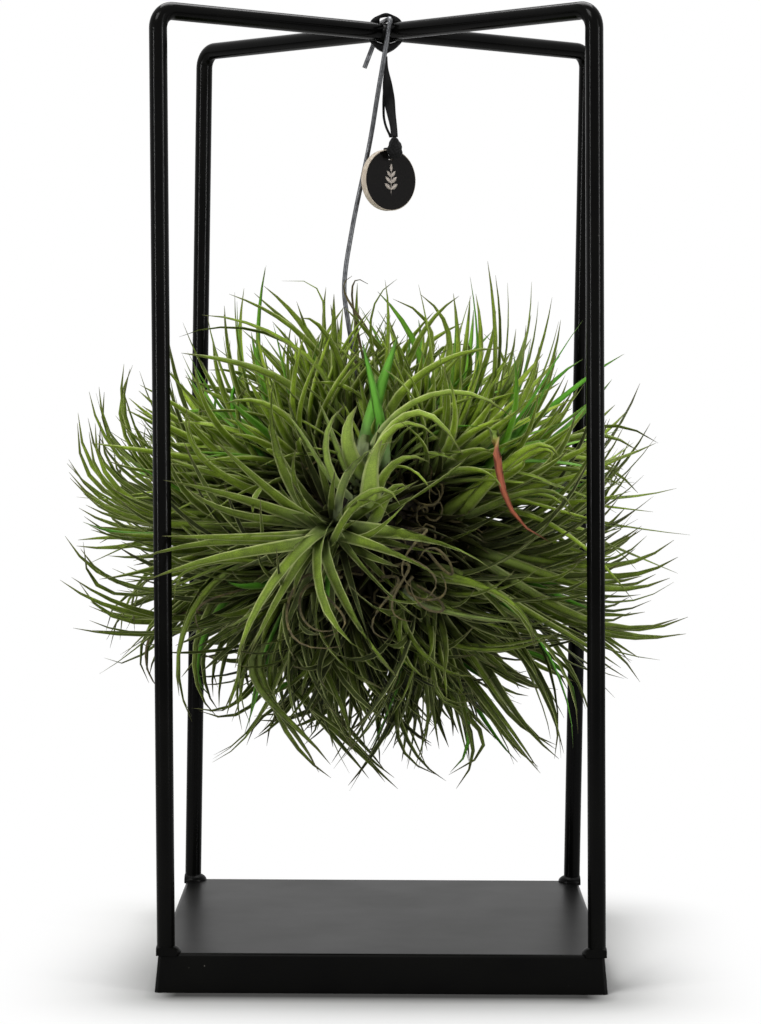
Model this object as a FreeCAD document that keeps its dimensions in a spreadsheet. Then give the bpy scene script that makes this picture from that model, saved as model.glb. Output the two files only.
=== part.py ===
import FreeCAD, Part
import Sketcher

import math
import os

# An air plant holder: a folded sheet-steel tray, four bent rods that meet over its middle, a wire
# hook that hangs over their crossing, the clump of air plants on that wire, and a small round tag
# on a ribbon. Millimetres, +Z up, the front towards -Y. The origin is on the floor, under the
# middle of the tray.

SIZES = [
    # alias, value, what it is
    ("base_width", 199.8, "tray across the lower edge of its skirts"),
    ("plate_width", 196.7, "top of the tray, across its folds"),
    ("base_height", 17.3, "tray from the floor to its top"),
    ("sheet_thick", 1.5, "steel sheet of the tray"),
    ("fold_radius", 1.8, "outside radius of the tray's folds"),
    ("overall_height", 435.0, "floor to the top of the rods"),
    ("rod_dia", 8.0, "steel rod"),
    ("top_twist", 2.757, "degrees that the crossing is turned from the tray"),
    ("post_inset", 3.35, "from the tray's fold in to the axis of a post"),
    ("bend_radius", 8.0, "rod's bend, at its axis"),
    ("rod_end_clearance", 0.4, "between neighbouring rods' ends at the crossing"),
    ("weld_gap", 0.05, "between a weld bead and the rod that it holds"),
    ("crossing_width", 14.0, "weld at the crossing, across"),
    ("crossing_depth", 9.2, "weld at the crossing, from top to bottom"),
    ("foot_weld_width", 13.4, "weld round a post's foot, across"),
    ("foot_weld_height", 3.6, "weld round a post's foot, above the tray"),
    ("foot_weld_drop", 1.1, "how far a foot's weld runs down over the fold"),
    ("foot_weld_edge", 0.9, "how far a foot's weld stands out from the fold"),
    ("wire_dia", 2.2, "hanger wire"),
    ("hook_clearance", 0.25, "between the hook and the crossing that it lies on"),
    ("hook_front_gap", 0.84, "between the wire and the front rods, where it turns down"),
    ("hook_rear_gap", 0.98, "between the wire and the rear rods, where it turns down"),
    ("hook_skew", 2.2, "how far the hook lies across the crossing, at each side"),
    ("hook_radius", 3.0, "bend of the hook over the rods"),
    ("hang_drop", 214.0, "from the top of the hook to the wire's end in the plant"),
    ("wire_sink", 26.0, "length of the wire's straight end in the plant"),
    ("bore_clearance", 0.3, "between that end and its hole in the plant"),
    ("ribbon_width", 4.0, "ribbon where it goes round the crossing"),
    ("ribbon_thick", 0.5, "ribbon"),
    ("ribbon_rod_gap", 0.384, "between the ribbon round the crossing and the rods"),
    ("loop_drop", 10.8, "from the rods' axes down to the ribbon's lower point"),
    ("strand_gap", 0.4, "between the loop, the strands and the knot"),
    ("strand_drop", 37.55, "height of the ribbon's two strands"),
    ("strand_width", 5.2, "ribbon's front strand at its widest"),
    ("strand_thick", 0.7, "ribbon's front strand"),
    ("tail_width", 0.9, "ribbon's back strand, seen on edge"),
    ("tag_offset", 1.5, "middle of the tag, to the right of the crossing"),
    ("tag_dia", 28.5, "wooden tag"),
    ("tag_thick", 3.6, "wooden tag"),
    ("tag_hole_dia", 4.2, "hole for the ribbon"),
    ("tag_hole_inset", 3.25, "middle of that hole in from the tag's edge"),
    ("face_inset", 0.4, "black face of the tag in from the tag's edge"),
    ("face_thick", 0.35, "black face of the tag"),
    ("eye_width", 2.2, "ribbon where it passes through the tag's hole"),
    ("eye_thick", 0.5, "ribbon where it passes through the tag's hole"),
    ("eye_gap", 0.3, "between that ribbon and the tag"),
    ("knot_width", 6.4, "ribbon's knot, across"),
    ("knot_depth", 4.6, "ribbon's knot, front to back"),
    ("knot_height", 10.4, "ribbon's knot, top to bottom"),
    ("plant_offset", -6.0, "middle of the plant, to the right of the crossing"),
    ("wire_end_offset", -2.2, "the wire's end, to the right of the plant's middle"),
    ("wire_end_rise", 19.35, "the wire's end, above the plant's middle"),
    ("core_width", 68.0, "matted stems in the middle of the plant, across"),
    ("core_tall", 64.0, "matted stems in the middle of the plant, top to bottom"),
    ("bulb_width", 17.0, "base of a rosette, across"),
    ("bulb_length", 24.0, "base of a rosette, along its axis"),
    ("leaf_length", 92.0, "a long leaf"),
    ("leaf_width", 6.0, "leaf at its base"),
    ("leaf_thick", 1.8, "leaf at its keel"),
    ("leaf_gap", 0.5, "least gap between the leaves of two rosettes"),
    ("post_gap", 1.2, "least gap between a leaf and a post, however the plant hangs"),
    ("wire_gap", 1.6, "least gap between a leaf and the wire"),
    ("tag_gap", 4.0, "least gap between a leaf and the tag or the tray"),
    ("cut_overrun", 5.0, "how far a cutting tool runs past what it cuts"),
    ("tag_turn", 35.0, "degrees that the tag has turned about the ribbon"),
    ("swing_left", 5.0, "degrees that the hanger swings to the left"),
    ("swing_right", 2.5, "degrees that the hanger swings to the right"),
    ("plant_turn", 4.0, "degrees that the plant turns each way"),
]

# The corners of the tray: name, and the signs of x and y.
CORNERS = [
    ("front_left", -1, -1),
    ("front_right", 1, -1),
    ("rear_left", -1, 1),
    ("rear_right", 1, 1),
]

# The wire below the hook: x to the right, y to the rear and the way down, as shares of hang_drop.
WIRE_SHARES = [
    (-0.0042, -0.0450, 0.0860),
    (-0.0185, -0.0215, 0.1680),
    (-0.0300, 0.0140, 0.2420),
    (-0.0450, 0.0240, 0.3180),
    (-0.0660, 0.0230, 0.4150),
    (-0.0860, 0.0160, 0.5330),
    (-0.0900, 0.0080, 0.5900),
    (-0.0760, 0.0020, 0.6800),
]

# The wire's loose end behind the crossing, as shares of hook_reach from the rear of the hook.
LOOSE_END_SHARES = [
    (-0.33, 0.44, -0.86),
    (-0.74, 0.36, -1.94),
]

# The largest bend of the wire at a corner, as a share of the shorter run beside it.
BEND_RUN_SHARE = 0.45

# The ribbon's two strands from the loop to the knot: how far they have come to the knot across,
# towards the front and down, and then their width and thickness, all as shares.
FRONT_STRAND_SHARES = [
    (0.0, 0.0, 0.0, 0.3, 1.0),
    (0.30, 0.0, 0.52, 1.0, 1.0),
    (0.75, 0.45, 0.86, 0.8, 1.0),
    (1.0, 1.0, 1.0, 0.6, 1.0),
]
BACK_STRAND_SHARES = [
    (-0.08, 0.0, 0.0, 0.6, 1.0),
    (-0.24, 0.0, 0.52, 1.0, 1.0),
    (-0.16, 0.0, 0.96, 0.7, 0.7),
]

# The rosettes: name, where the bulb sits on the core (azimuth from +X and elevation, degrees),
# where its axis points (the same two angles), number of leaves, length as a share of
# leaf_length, opening of the inner and of the outer leaves in degrees, and the share by which
# their tips turn upwards.
ROSETTES = [
    ("front", -112, -2, -108, -4, 15, 0.86, 22, 98, 0.10),
    ("front_upright", -86, 36, -84, 68, 11, 0.72, 10, 70, 0.05),
    ("upper_left", -150, 38, -158, 44, 13, 0.98, 14, 84, 0.10),
    ("top_left", -168, 64, -150, 76, 11, 0.84, 10, 66, 0.10),
    ("top_right", -30, 62, -32, 70, 11, 0.88, 12, 74, 0.10),
    ("upper_right", -38, 34, -30, 42, 12, 1.08, 14, 76, 0.22),
    ("right", -8, 14, -12, 26, 12, 1.26, 12, 66, 0.25),
    ("right_fan", -12, -20, -10, -14, 13, 1.32, 10, 58, 0.42),
    ("lower_right", -48, -40, -38, -44, 13, 1.10, 14, 78, 0.05),
    ("bottom_left", -122, -64, -118, -70, 12, 1.02, 12, 70, 0.00),
    ("bottom_right", 20, -70, -12, -68, 12, 1.08, 12, 68, 0.05),
    ("lower_left", -146, -32, -150, -34, 13, 1.00, 14, 76, 0.12),
    ("left_fan", 178, -8, -178, -2, 13, 1.09, 10, 58, 0.45),
    ("left", 176, 26, 176, 26, 12, 1.14, 12, 62, 0.34),
    ("rear", 92, 4, 90, 4, 13, 0.93, 14, 70, 0.20),
    ("rear_left", 136, -18, 132, -14, 11, 0.86, 14, 80, 0.15),
    ("rear_right", 44, 10, 46, 12, 11, 0.86, 14, 80, 0.15),
    ("rear_upper", 104, 44, 100, 48, 11, 1.00, 14, 80, 0.15),
    ("rear_lower", 84, -46, 86, -48, 12, 1.02, 14, 78, 0.05),
]

# Degrees from one leaf of a rosette to the next.
GOLDEN_ANGLE = 137.508

# An axis that leans further than this share towards the vertical counts as upright.
UPRIGHT_SHARE = 0.9

# A leaf: where its corners lie along it and how wide it is at each, as shares of its length and
# of leaf_width, and how much of its opening it has at its root and gains on the way to its tip.
LEAF_STATION_SHARES = (0.0, 0.30, 0.64, 1.0)
LEAF_WIDTH_SHARES = (1.0, 0.78, 0.42, 0.0)
LEAF_ROOT_SPREAD_SHARE = 0.45
LEAF_GAINED_SPREAD_SHARE = 0.75
LEAF_LIFT_SHARE = 1.6
LEAF_STEPS = 12

# The shortest leaf of a rosette and what the longest has more, as shares of the rosette's length.
SHORT_LEAF_SHARE = 0.82
LONG_LEAF_GAIN_SHARE = 0.3

# A leaf that would touch another turns to and fro and shortens by these steps.
LEAF_TRIES = 12
TRY_TURN = 9
TRY_SHORTENING_SHARE = 0.05

# Where leaves leave the bulb: how far the inmost and the outmost stand along its axis, as shares
# of its length, and how far all of them stand from the axis, as a share of its width.
ROOT_HEIGHT_SHARES = (0.34, -0.26)
ROOT_OFFSET_SHARE = 0.18

# How far a bulb's middle stands out from the middle of the core, as a share of the core's size.
BULB_SEAT_SHARE = 1.12

BULB_SIDES = 8
BULB_RINGS = (-50, 0, 50)
CORE_SIDES = 14
CORE_RINGS = (-60, -30, 0, 30, 60)

doc = FreeCAD.newDocument("air_plant_holder")
sheet = doc.addObject("Spreadsheet::Sheet", "Sizes")
for row, (alias, value, words) in enumerate(SIZES, start=1):
    sheet.set(f"A{row}", alias)
    sheet.set(f"B{row}", str(value))
    sheet.set(f"C{row}", words)
    sheet.setAlias(f"B{row}", alias)
doc.recompute()

X_AXIS = FreeCAD.Vector(1, 0, 0)
Y_AXIS = FreeCAD.Vector(0, 1, 0)
Z_AXIS = FreeCAD.Vector(0, 0, 1)
ORIGIN = FreeCAD.Vector(0, 0, 0)

nodes = []


def size(alias):
    """A driving dimension's value."""
    return float(sheet.get(alias))


def node(thing, name):
    """Names a finished sub-part and keeps it for the export."""
    thing.Label = name
    nodes.append(thing)
    return thing


def turned(axis, degrees, base=ORIGIN):
    """A placement turned about an axis and moved to base."""
    return FreeCAD.Placement(base, FreeCAD.Rotation(axis, degrees))


def plane_of(body, role):
    """One of a body's own origin planes."""
    return next(f for f in body.Origin.OriginFeatures if f.Role == role)


def new_sketch(body, role, name):
    """A sketch on one of the body's origin planes."""
    sketch = body.newObject("Sketcher::SketchObject", name)
    sketch.AttachmentSupport = [(plane_of(body, role), "")]
    sketch.MapMode = "FlatFace"
    return sketch


def bind(thing, **expressions):
    """Ties properties of an object to the sheet."""
    for name, expression in expressions.items():
        thing.setExpression(name, expression)


def tie(sketch, name, kind, picks, expression):
    """A named constraint whose value follows the sheet."""
    value = float(sketch.evalExpression(expression))
    number = sketch.addConstraint(Sketcher.Constraint(kind, *picks, value))
    sketch.renameConstraint(number, name)
    sketch.setExpression(f"Constraints.{name}", expression)


def add_circle(sketch, radius, centre_up="", name="radius"):
    """A circle above the sketch's origin, with its radius and height tied to the sheet."""
    rise = float(sketch.evalExpression(centre_up)) if centre_up else 0
    reach = float(sketch.evalExpression(radius))
    edge = sketch.addGeometry(Part.Circle(Y_AXIS * rise, Z_AXIS, reach), False)
    sketch.addConstraint(Sketcher.Constraint("PointOnObject", edge, 3, -2))
    if centre_up:
        tie(sketch, f"{name}_rise", "DistanceY", (-1, 1, edge, 3), centre_up)
    else:
        sketch.addConstraint(Sketcher.Constraint("PointOnObject", edge, 3, -1))
    tie(sketch, name, "Radius", (edge,), radius)


def add_box_outline(sketch, left, right, low, high, name):
    """A rectangle whose four sides are tied to the sheet by their distance from the origin."""
    x_low, x_high, y_low, y_high = (
        float(sketch.evalExpression(words)) for words in (left, right, low, high)
    )
    corners = [
        FreeCAD.Vector(x, y, 0)
        for x, y in ((x_low, y_low), (x_high, y_low), (x_high, y_high), (x_low, y_high))
    ]
    edges = [
        sketch.addGeometry(Part.LineSegment(corners[i], corners[(i + 1) % len(corners)]), False)
        for i in range(len(corners))
    ]
    for i, edge in enumerate(edges):
        after = edges[(i + 1) % len(edges)]
        sketch.addConstraint(Sketcher.Constraint("Coincident", edge, 2, after, 1))
        sketch.addConstraint(Sketcher.Constraint("Vertical" if i % 2 else "Horizontal", edge))
    ends = {
        "left": ("DistanceX", edges[0], 1, left),
        "low": ("DistanceY", edges[0], 1, low),
        "right": ("DistanceX", edges[2], 1, right),
        "high": ("DistanceY", edges[2], 1, high),
    }
    for end, (kind, edge, vertex, expression) in ends.items():
        tie(sketch, f"{name}_{end}", kind, (-1, 1, edge, vertex), expression)


def feature(name, shape):
    """A Part::Feature that holds a ready shape."""
    thing = doc.addObject("Part::Feature", name)
    thing.Shape = shape
    return thing


def cut(name, base, tool):
    """A boolean cut of two objects."""
    thing = doc.addObject("Part::Cut", name)
    thing.Base = base
    thing.Tool = tool
    return thing


def gather(name, things):
    """One object that holds several, for a boolean."""
    thing = doc.addObject("Part::Compound", name)
    thing.Links = things
    return thing


# Sizes that several pieces share, for the sheet's expressions and as values.
CORNER_REACH = "((Sizes.plate_width - 2 * Sizes.post_inset) / sqrt(2))"
ARM_LEVEL = "(Sizes.overall_height - Sizes.rod_dia / 2)"
ROD_END_GAP = "(Sizes.rod_dia / 2 + Sizes.rod_end_clearance)"
TAG_HOLE_RISE = "(Sizes.tag_dia / 2 - Sizes.tag_hole_inset)"
LOOP_RADIUS = (
    "(sqrt(2) * (Sizes.rod_dia / 2 + Sizes.ribbon_rod_gap)"
    " + Sizes.ribbon_width / 2 + Sizes.ribbon_thick)"
)
post_spacing = size("plate_width") - 2 * size("post_inset")
corner_reach = post_spacing / math.sqrt(2)
arm_level = size("overall_height") - size("rod_dia") / 2
post_drop = arm_level - size("base_height")
twist = math.radians(size("top_twist"))
post_lean = math.degrees(math.asin(corner_reach * math.sin(twist) / post_drop))
rod_end_gap = size("rod_dia") / 2 + size("rod_end_clearance")
loop_radius = (
    math.sqrt(2) * (size("rod_dia") / 2 + size("ribbon_rod_gap"))
    + size("ribbon_width") / 2
    + size("ribbon_thick")
)
hook_level = size("overall_height") + size("hook_clearance") + size("wire_dia") / 2
hook_bed = (size("rod_dia") + size("wire_dia")) / 2
hook_reach = math.sqrt(2) * (hook_bed + size("hook_front_gap")) + size("hook_skew")
hook_rear_reach = math.sqrt(2) * (hook_bed + size("hook_rear_gap")) + size("hook_skew")
wire_end_level = hook_level - size("hang_drop")
wire_end_x = size("plant_offset") + size("wire_end_offset")
strand_top = arm_level - size("loop_drop") - size("strand_gap")
strand_foot = strand_top - size("strand_drop")
tag_level = strand_foot - size("strand_gap") - size("knot_height") / 2 - size("tag_dia") / 2


def arm_angle(sign_x, sign_y):
    """The direction of a rod's arm, in degrees from +X."""
    return math.degrees(math.atan2(sign_y, sign_x)) - size("top_twist")


def rod_placement(sign_x, sign_y):
    """From a rod's own frame, with its arm along +X, to its place over the tray."""
    turn = turned(Z_AXIS, arm_angle(sign_x, sign_y), Z_AXIS * arm_level)
    return turn.multiply(turned(X_AXIS, post_lean))


def foot_point(sign_x, sign_y):
    """Where the axis of a post meets the tray."""
    return rod_placement(sign_x, sign_y).multVec(FreeCAD.Vector(corner_reach, 0, -post_drop))


def make_tray():
    """The folded tray: tapered skirts, rounded folds, open underneath."""
    body = doc.addObject("PartDesign::Body", "tray")
    outer = new_sketch(body, "XY_Plane", "tray_outline")
    half = "Sizes.base_width / 2"
    add_box_outline(outer, "-" + half, half, "-" + half, half, "edge")
    pad = body.newObject("PartDesign::Pad", "tray_block")
    pad.Profile = outer
    flare = "atan((Sizes.base_width - Sizes.plate_width) / 2 / Sizes.base_height)"
    bind(pad, Length="Sizes.base_height", TaperAngle="-" + flare)
    body.Tip = pad
    doc.recompute()
    folds = []
    for number, edge in enumerate(pad.Shape.Edges, start=1):
        ends = [vertex.Point.z for vertex in edge.Vertexes]
        if max(ends) > size("base_height") / 2:
            folds.append(f"Edge{number}")
    fillet = body.newObject("PartDesign::Fillet", "tray_folds")
    fillet.Base = (pad, folds)
    bind(fillet, Radius="Sizes.fold_radius")
    body.Tip = fillet
    doc.recompute()
    inner = new_sketch(body, "XY_Plane", "tray_hollow_outline")
    half = "(Sizes.base_width / 2 - Sizes.sheet_thick)"
    add_box_outline(inner, "-" + half, half, "-" + half, half, "inner")
    pocket = body.newObject("PartDesign::Pocket", "tray_hollow")
    pocket.Profile = inner
    pocket.Reversed = True
    bind(pocket, Length="Sizes.base_height - Sizes.sheet_thick", TaperAngle="-" + flare)
    body.Tip = pocket
    return node(body, "base_tray")


def make_rod(name, sign_x, sign_y, below_plate):
    """One rod: the arm from the crossing, the bend and the post down to the tray."""
    body = doc.addObject("PartDesign::Body", f"{name}_bar")
    path = new_sketch(body, "XZ_Plane", f"{name}_path")
    reach = corner_reach
    bend = size("bend_radius")
    start = FreeCAD.Vector(rod_end_gap, 0, 0)
    turn_in = FreeCAD.Vector(reach - bend, 0, 0)
    centre = FreeCAD.Vector(reach - bend, -bend, 0)
    turn_out = FreeCAD.Vector(reach, -bend, 0)
    foot = FreeCAD.Vector(reach, -post_drop - size("cut_overrun"), 0)
    arm = path.addGeometry(Part.LineSegment(start, turn_in), False)
    circle = Part.Circle(centre, Z_AXIS, bend)
    arc = path.addGeometry(Part.ArcOfCircle(circle, 0, math.pi / 2), False)
    post = path.addGeometry(Part.LineSegment(turn_out, foot), False)
    path.addConstraint(Sketcher.Constraint("PointOnObject", arm, 1, -1))
    path.addConstraint(Sketcher.Constraint("Horizontal", arm))
    path.addConstraint(Sketcher.Constraint("Vertical", post))
    path.addConstraint(Sketcher.Constraint("Tangent", arm, 2, arc, 2))
    path.addConstraint(Sketcher.Constraint("Tangent", arc, 1, post, 1))
    drop = f"{ARM_LEVEL} - Sizes.base_height + Sizes.cut_overrun"
    tie(path, "start", "DistanceX", (-1, 1, arm, 1), ROD_END_GAP)
    tie(path, "reach", "DistanceX", (-1, 1, post, 2), CORNER_REACH)
    tie(path, "bend", "Radius", (arc,), "Sizes.bend_radius")
    tie(path, "drop", "DistanceY", (post, 2, -1, 1), drop)
    section = new_sketch(body, "YZ_Plane", f"{name}_section")
    section.setExpression(".AttachmentOffset.Base.z", ROD_END_GAP)
    add_circle(section, "Sizes.rod_dia / 2")
    doc.recompute()
    sweep = body.newObject("PartDesign::AdditivePipe", f"{name}_sweep")
    sweep.Profile = section
    sweep.Spine = (path, ["Edge1", "Edge2", "Edge3"])
    body.Tip = sweep
    body.Placement = rod_placement(sign_x, sign_y)
    return node(cut(f"{name}_rod", body, below_plate), f"{name}_rod")


def along_arm(sign_x, sign_y, start):
    """A placement at a distance along an arm, with +Z pointing along it."""
    shift = FreeCAD.Placement(FreeCAD.Vector(start, 0, 0), FreeCAD.Rotation(Y_AXIS, 90))
    return rod_placement(sign_x, sign_y).multiply(shift)


def make_crossing_weld():
    """The weld that joins the four rods' ends: a flattened bead with a seat for each rod."""
    bead = doc.addObject("Part::Ellipsoid", "crossing_bead")
    reach = "Sizes.crossing_width / 2"
    bind(bead, Radius1="Sizes.crossing_depth / 2", Radius2=reach, Radius3=reach)
    bead.setExpression(".Placement.Base.z", "Sizes.overall_height - Sizes.crossing_depth / 2")
    seats = []
    for name, sign_x, sign_y in CORNERS:
        seat = doc.addObject("Part::Cylinder", f"{name}_seat")
        bind(
            seat,
            Radius="Sizes.rod_dia / 2 + Sizes.weld_gap",
            Height="Sizes.crossing_width + Sizes.cut_overrun",
        )
        seat.Placement = along_arm(sign_x, sign_y, rod_end_gap - size("weld_gap"))
        seats.append(seat)
    return node(cut("crossing_weld", bead, gather("crossing_seats", seats)), "crossing_weld")


def make_foot_welds(tray):
    """A bead round each post's foot, down over the fold and trimmed to the tray."""
    beads = []
    bores = []
    for name, sign_x, sign_y in CORNERS:
        bead = doc.addObject("Part::Ellipsoid", f"{name}_bead")
        reach = "Sizes.foot_weld_width / 2"
        bind(bead, Radius1="Sizes.foot_weld_height", Radius2=reach, Radius3=reach)
        bead.Placement.Base = foot_point(sign_x, sign_y)
        beads.append(bead)
        bore = doc.addObject("Part::Cylinder", f"{name}_bore")
        bind(
            bore,
            Radius="Sizes.rod_dia / 2 + Sizes.weld_gap",
            Height="2 * (Sizes.foot_weld_height + Sizes.cut_overrun)",
        )
        below = size("foot_weld_height") + size("cut_overrun")
        shift = FreeCAD.Placement(FreeCAD.Vector(corner_reach, 0, -post_drop - below), FreeCAD.Rotation())
        bore.Placement = rod_placement(sign_x, sign_y).multiply(shift)
        bores.append(bore)
    bound = doc.addObject("Part::Box", "foot_weld_bound")
    side = "(Sizes.plate_width + 2 * Sizes.foot_weld_edge)"
    bind(bound, Length=side, Width=side, Height="Sizes.foot_weld_height + Sizes.foot_weld_drop")
    bound.setExpression(".Placement.Base.x", "-" + side + " / 2")
    bound.setExpression(".Placement.Base.y", "-" + side + " / 2")
    bound.setExpression(".Placement.Base.z", "Sizes.base_height - Sizes.foot_weld_drop")
    trimmed = doc.addObject("Part::Common", "foot_beads")
    trimmed.Base = gather("foot_bead_group", beads)
    trimmed.Tool = bound
    seated = cut("foot_beads_on_tray", trimmed, tray)
    return node(cut("foot_welds", seated, gather("foot_bores", bores)), "foot_welds")


def rounded_path(points, radii):
    """A wire of straight runs joined by tangent arcs at the inner points."""
    edges = []
    at = points[0]
    for before, corner, after, radius in zip(points, points[1:], points[2:], radii):
        back = (before - corner).normalize()
        ahead = (after - corner).normalize()
        half_turn = (math.pi - back.getAngle(ahead)) / 2
        trim = radius * math.tan(half_turn)
        arc_start = corner + back * trim
        arc_end = corner + ahead * trim
        to_middle = (back + ahead).normalize()
        middle = corner + to_middle * (radius / math.cos(half_turn) - radius)
        edges.append(Part.LineSegment(at, arc_start).toShape())
        edges.append(Part.Arc(arc_start, middle, arc_end).toShape())
        at = arc_end
    edges.append(Part.LineSegment(at, points[-1]).toShape())
    return Part.Wire(edges)


def wire_points():
    """The hanger wire's corners, from its loose end over the crossing and down into the plant."""
    rear = FreeCAD.Vector(-size("hook_skew"), hook_rear_reach, hook_level)
    front = FreeCAD.Vector(size("hook_skew"), -hook_reach, hook_level)
    loose = [rear + FreeCAD.Vector(*share) * hook_reach for share in LOOSE_END_SHARES]
    top = FreeCAD.Vector(0, 0, hook_level)
    down = [top + FreeCAD.Vector(x, y, -z) * size("hang_drop") for x, y, z in WIRE_SHARES]
    end = FreeCAD.Vector(wire_end_x, 0, wire_end_level)
    return loose[::-1] + [rear, front] + down + [end + Z_AXIS * size("wire_sink"), end]


def wire_radii(points):
    """Bends of the wire: tight over the rods, as large as the runs allow elsewhere."""
    radii = []
    hook = (len(LOOSE_END_SHARES), len(LOOSE_END_SHARES) + 1)
    for number in range(1, len(points) - 1):
        back = points[number - 1] - points[number]
        ahead = points[number + 1] - points[number]
        half_turn = (math.pi - back.getAngle(ahead)) / 2
        largest = BEND_RUN_SHARE * min(back.Length, ahead.Length) / math.tan(half_turn)
        radii.append(min(size("hook_radius"), largest) if number in hook else largest)
    return radii


def make_wire():
    """The hanger wire as one tube."""
    points = wire_points()
    radii = wire_radii(points)
    path = rounded_path(points, radii)
    start = (points[1] - points[0]).normalize()
    circle = Part.Circle(points[0], start, size("wire_dia") / 2).toShape()
    tube = path.makePipeShell([Part.Wire([circle])], True, False)
    print("hanger wire length", round(path.Length, 1), "bends", [round(r, 1) for r in radii])
    expected = math.pi * size("wire_dia") ** 2 / 4 * path.Length
    print("hanger wire volume", round(tube.Volume, 1), "section times length", round(expected, 1))
    return node(feature("hanger_wire", tube), "hanger_wire")


def loop_outline(sketch, inset, name):
    """The ribbon's outline round the crossing: an arch whose ends run to a point below."""
    radius = loop_radius - inset
    reach = size("loop_drop") * radius / loop_radius
    lift = radius * radius / reach
    side = math.sqrt(radius * radius - lift * lift)
    left = FreeCAD.Vector(-side, -lift, 0)
    right = FreeCAD.Vector(side, -lift, 0)
    point = FreeCAD.Vector(0, -reach, 0)
    low = math.atan2(-lift, side)
    arch = Part.ArcOfCircle(Part.Circle(ORIGIN, Z_AXIS, radius), low, math.pi - low)
    arc = sketch.addGeometry(arch, False)
    down = sketch.addGeometry(Part.LineSegment(left, point), False)
    back = sketch.addGeometry(Part.LineSegment(point, right), False)
    sketch.addConstraint(Sketcher.Constraint("Coincident", arc, 3, -1, 1))
    sketch.addConstraint(Sketcher.Constraint("Tangent", arc, 2, down, 1))
    sketch.addConstraint(Sketcher.Constraint("Coincident", down, 2, back, 1))
    sketch.addConstraint(Sketcher.Constraint("Tangent", back, 2, arc, 1))
    sketch.addConstraint(Sketcher.Constraint("PointOnObject", down, 2, -2))
    radius_words = LOOP_RADIUS
    reach_words = "Sizes.loop_drop"
    if inset:
        radius_words = f"({LOOP_RADIUS} - Sizes.ribbon_thick)"
        reach_words = f"Sizes.loop_drop * {radius_words} / {LOOP_RADIUS}"
    tie(sketch, f"{name}_radius", "Radius", (arc,), radius_words)
    tie(sketch, f"{name}_reach", "DistanceY", (down, 2, -1, 1), reach_words)


def make_ribbon_loop():
    """The ribbon's closed loop round the crossing, over the wire hook."""
    body = doc.addObject("PartDesign::Body", "ribbon_round_crossing")
    outline = new_sketch(body, "XZ_Plane", "ribbon_loop_outline")
    loop_outline(outline, 0, "outer")
    loop_outline(outline, size("ribbon_thick"), "inner")
    pad = body.newObject("PartDesign::Pad", "ribbon_loop_band")
    pad.Profile = outline
    pad.Midplane = True
    bind(pad, Length="Sizes.ribbon_width")
    body.Tip = pad
    body.setExpression(".Placement.Base.z", ARM_LEVEL)
    return node(body, "ribbon_loop")


def block_between(sections):
    """A closed strip through rectangles, each given by its middle, width in x and depth in y."""
    wires = []
    for middle, width, depth in sections:
        corners = [
            middle + FreeCAD.Vector(side_x * width / 2, side_y * depth / 2, 0)
            for side_x, side_y in ((-1, -1), (1, -1), (1, 1), (-1, 1))
        ]
        wires.append(Part.makePolygon(corners + corners[:1]))
    return Part.makeLoft(wires, True, True)


def tag_placement():
    """From the tag's own frame, face towards -Y, to where it hangs."""
    return turned(Z_AXIS, size("tag_turn"), FreeCAD.Vector(size("tag_offset"), 0, tag_level))


def knot_centre():
    """The middle of the knot, in the tag's own frame."""
    front = size("tag_thick") / 2 + size("face_thick") + 2 * size("eye_gap") + size("eye_thick")
    rise = size("tag_dia") / 2
    return FreeCAD.Vector(0, -front - size("knot_depth") / 2, rise)


def strand(shares, width, thickness, behind):
    """A strip of ribbon from the loop towards the knot, set back from the front by behind."""
    knot = tag_placement().multVec(knot_centre())
    sections = []
    for across, forward, down, width_share, thickness_share in shares:
        level = strand_top - down * size("strand_drop")
        middle = FreeCAD.Vector(across * knot.x, forward * knot.y + behind, level)
        sections.append((middle, width_share * width, thickness_share * thickness))
    return block_between(sections)


def make_strands():
    """The two strands of ribbon from the loop down to the knot."""
    thick = size("strand_thick")
    thin = size("tail_width")
    front = strand(FRONT_STRAND_SHARES, size("strand_width"), thick, 0)
    back = strand(BACK_STRAND_SHARES, thin, thin, thick + thin)
    node(feature("ribbon_front_strand", front), "ribbon_front_strand")
    node(feature("ribbon_back_strand", back), "ribbon_back_strand")


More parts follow.
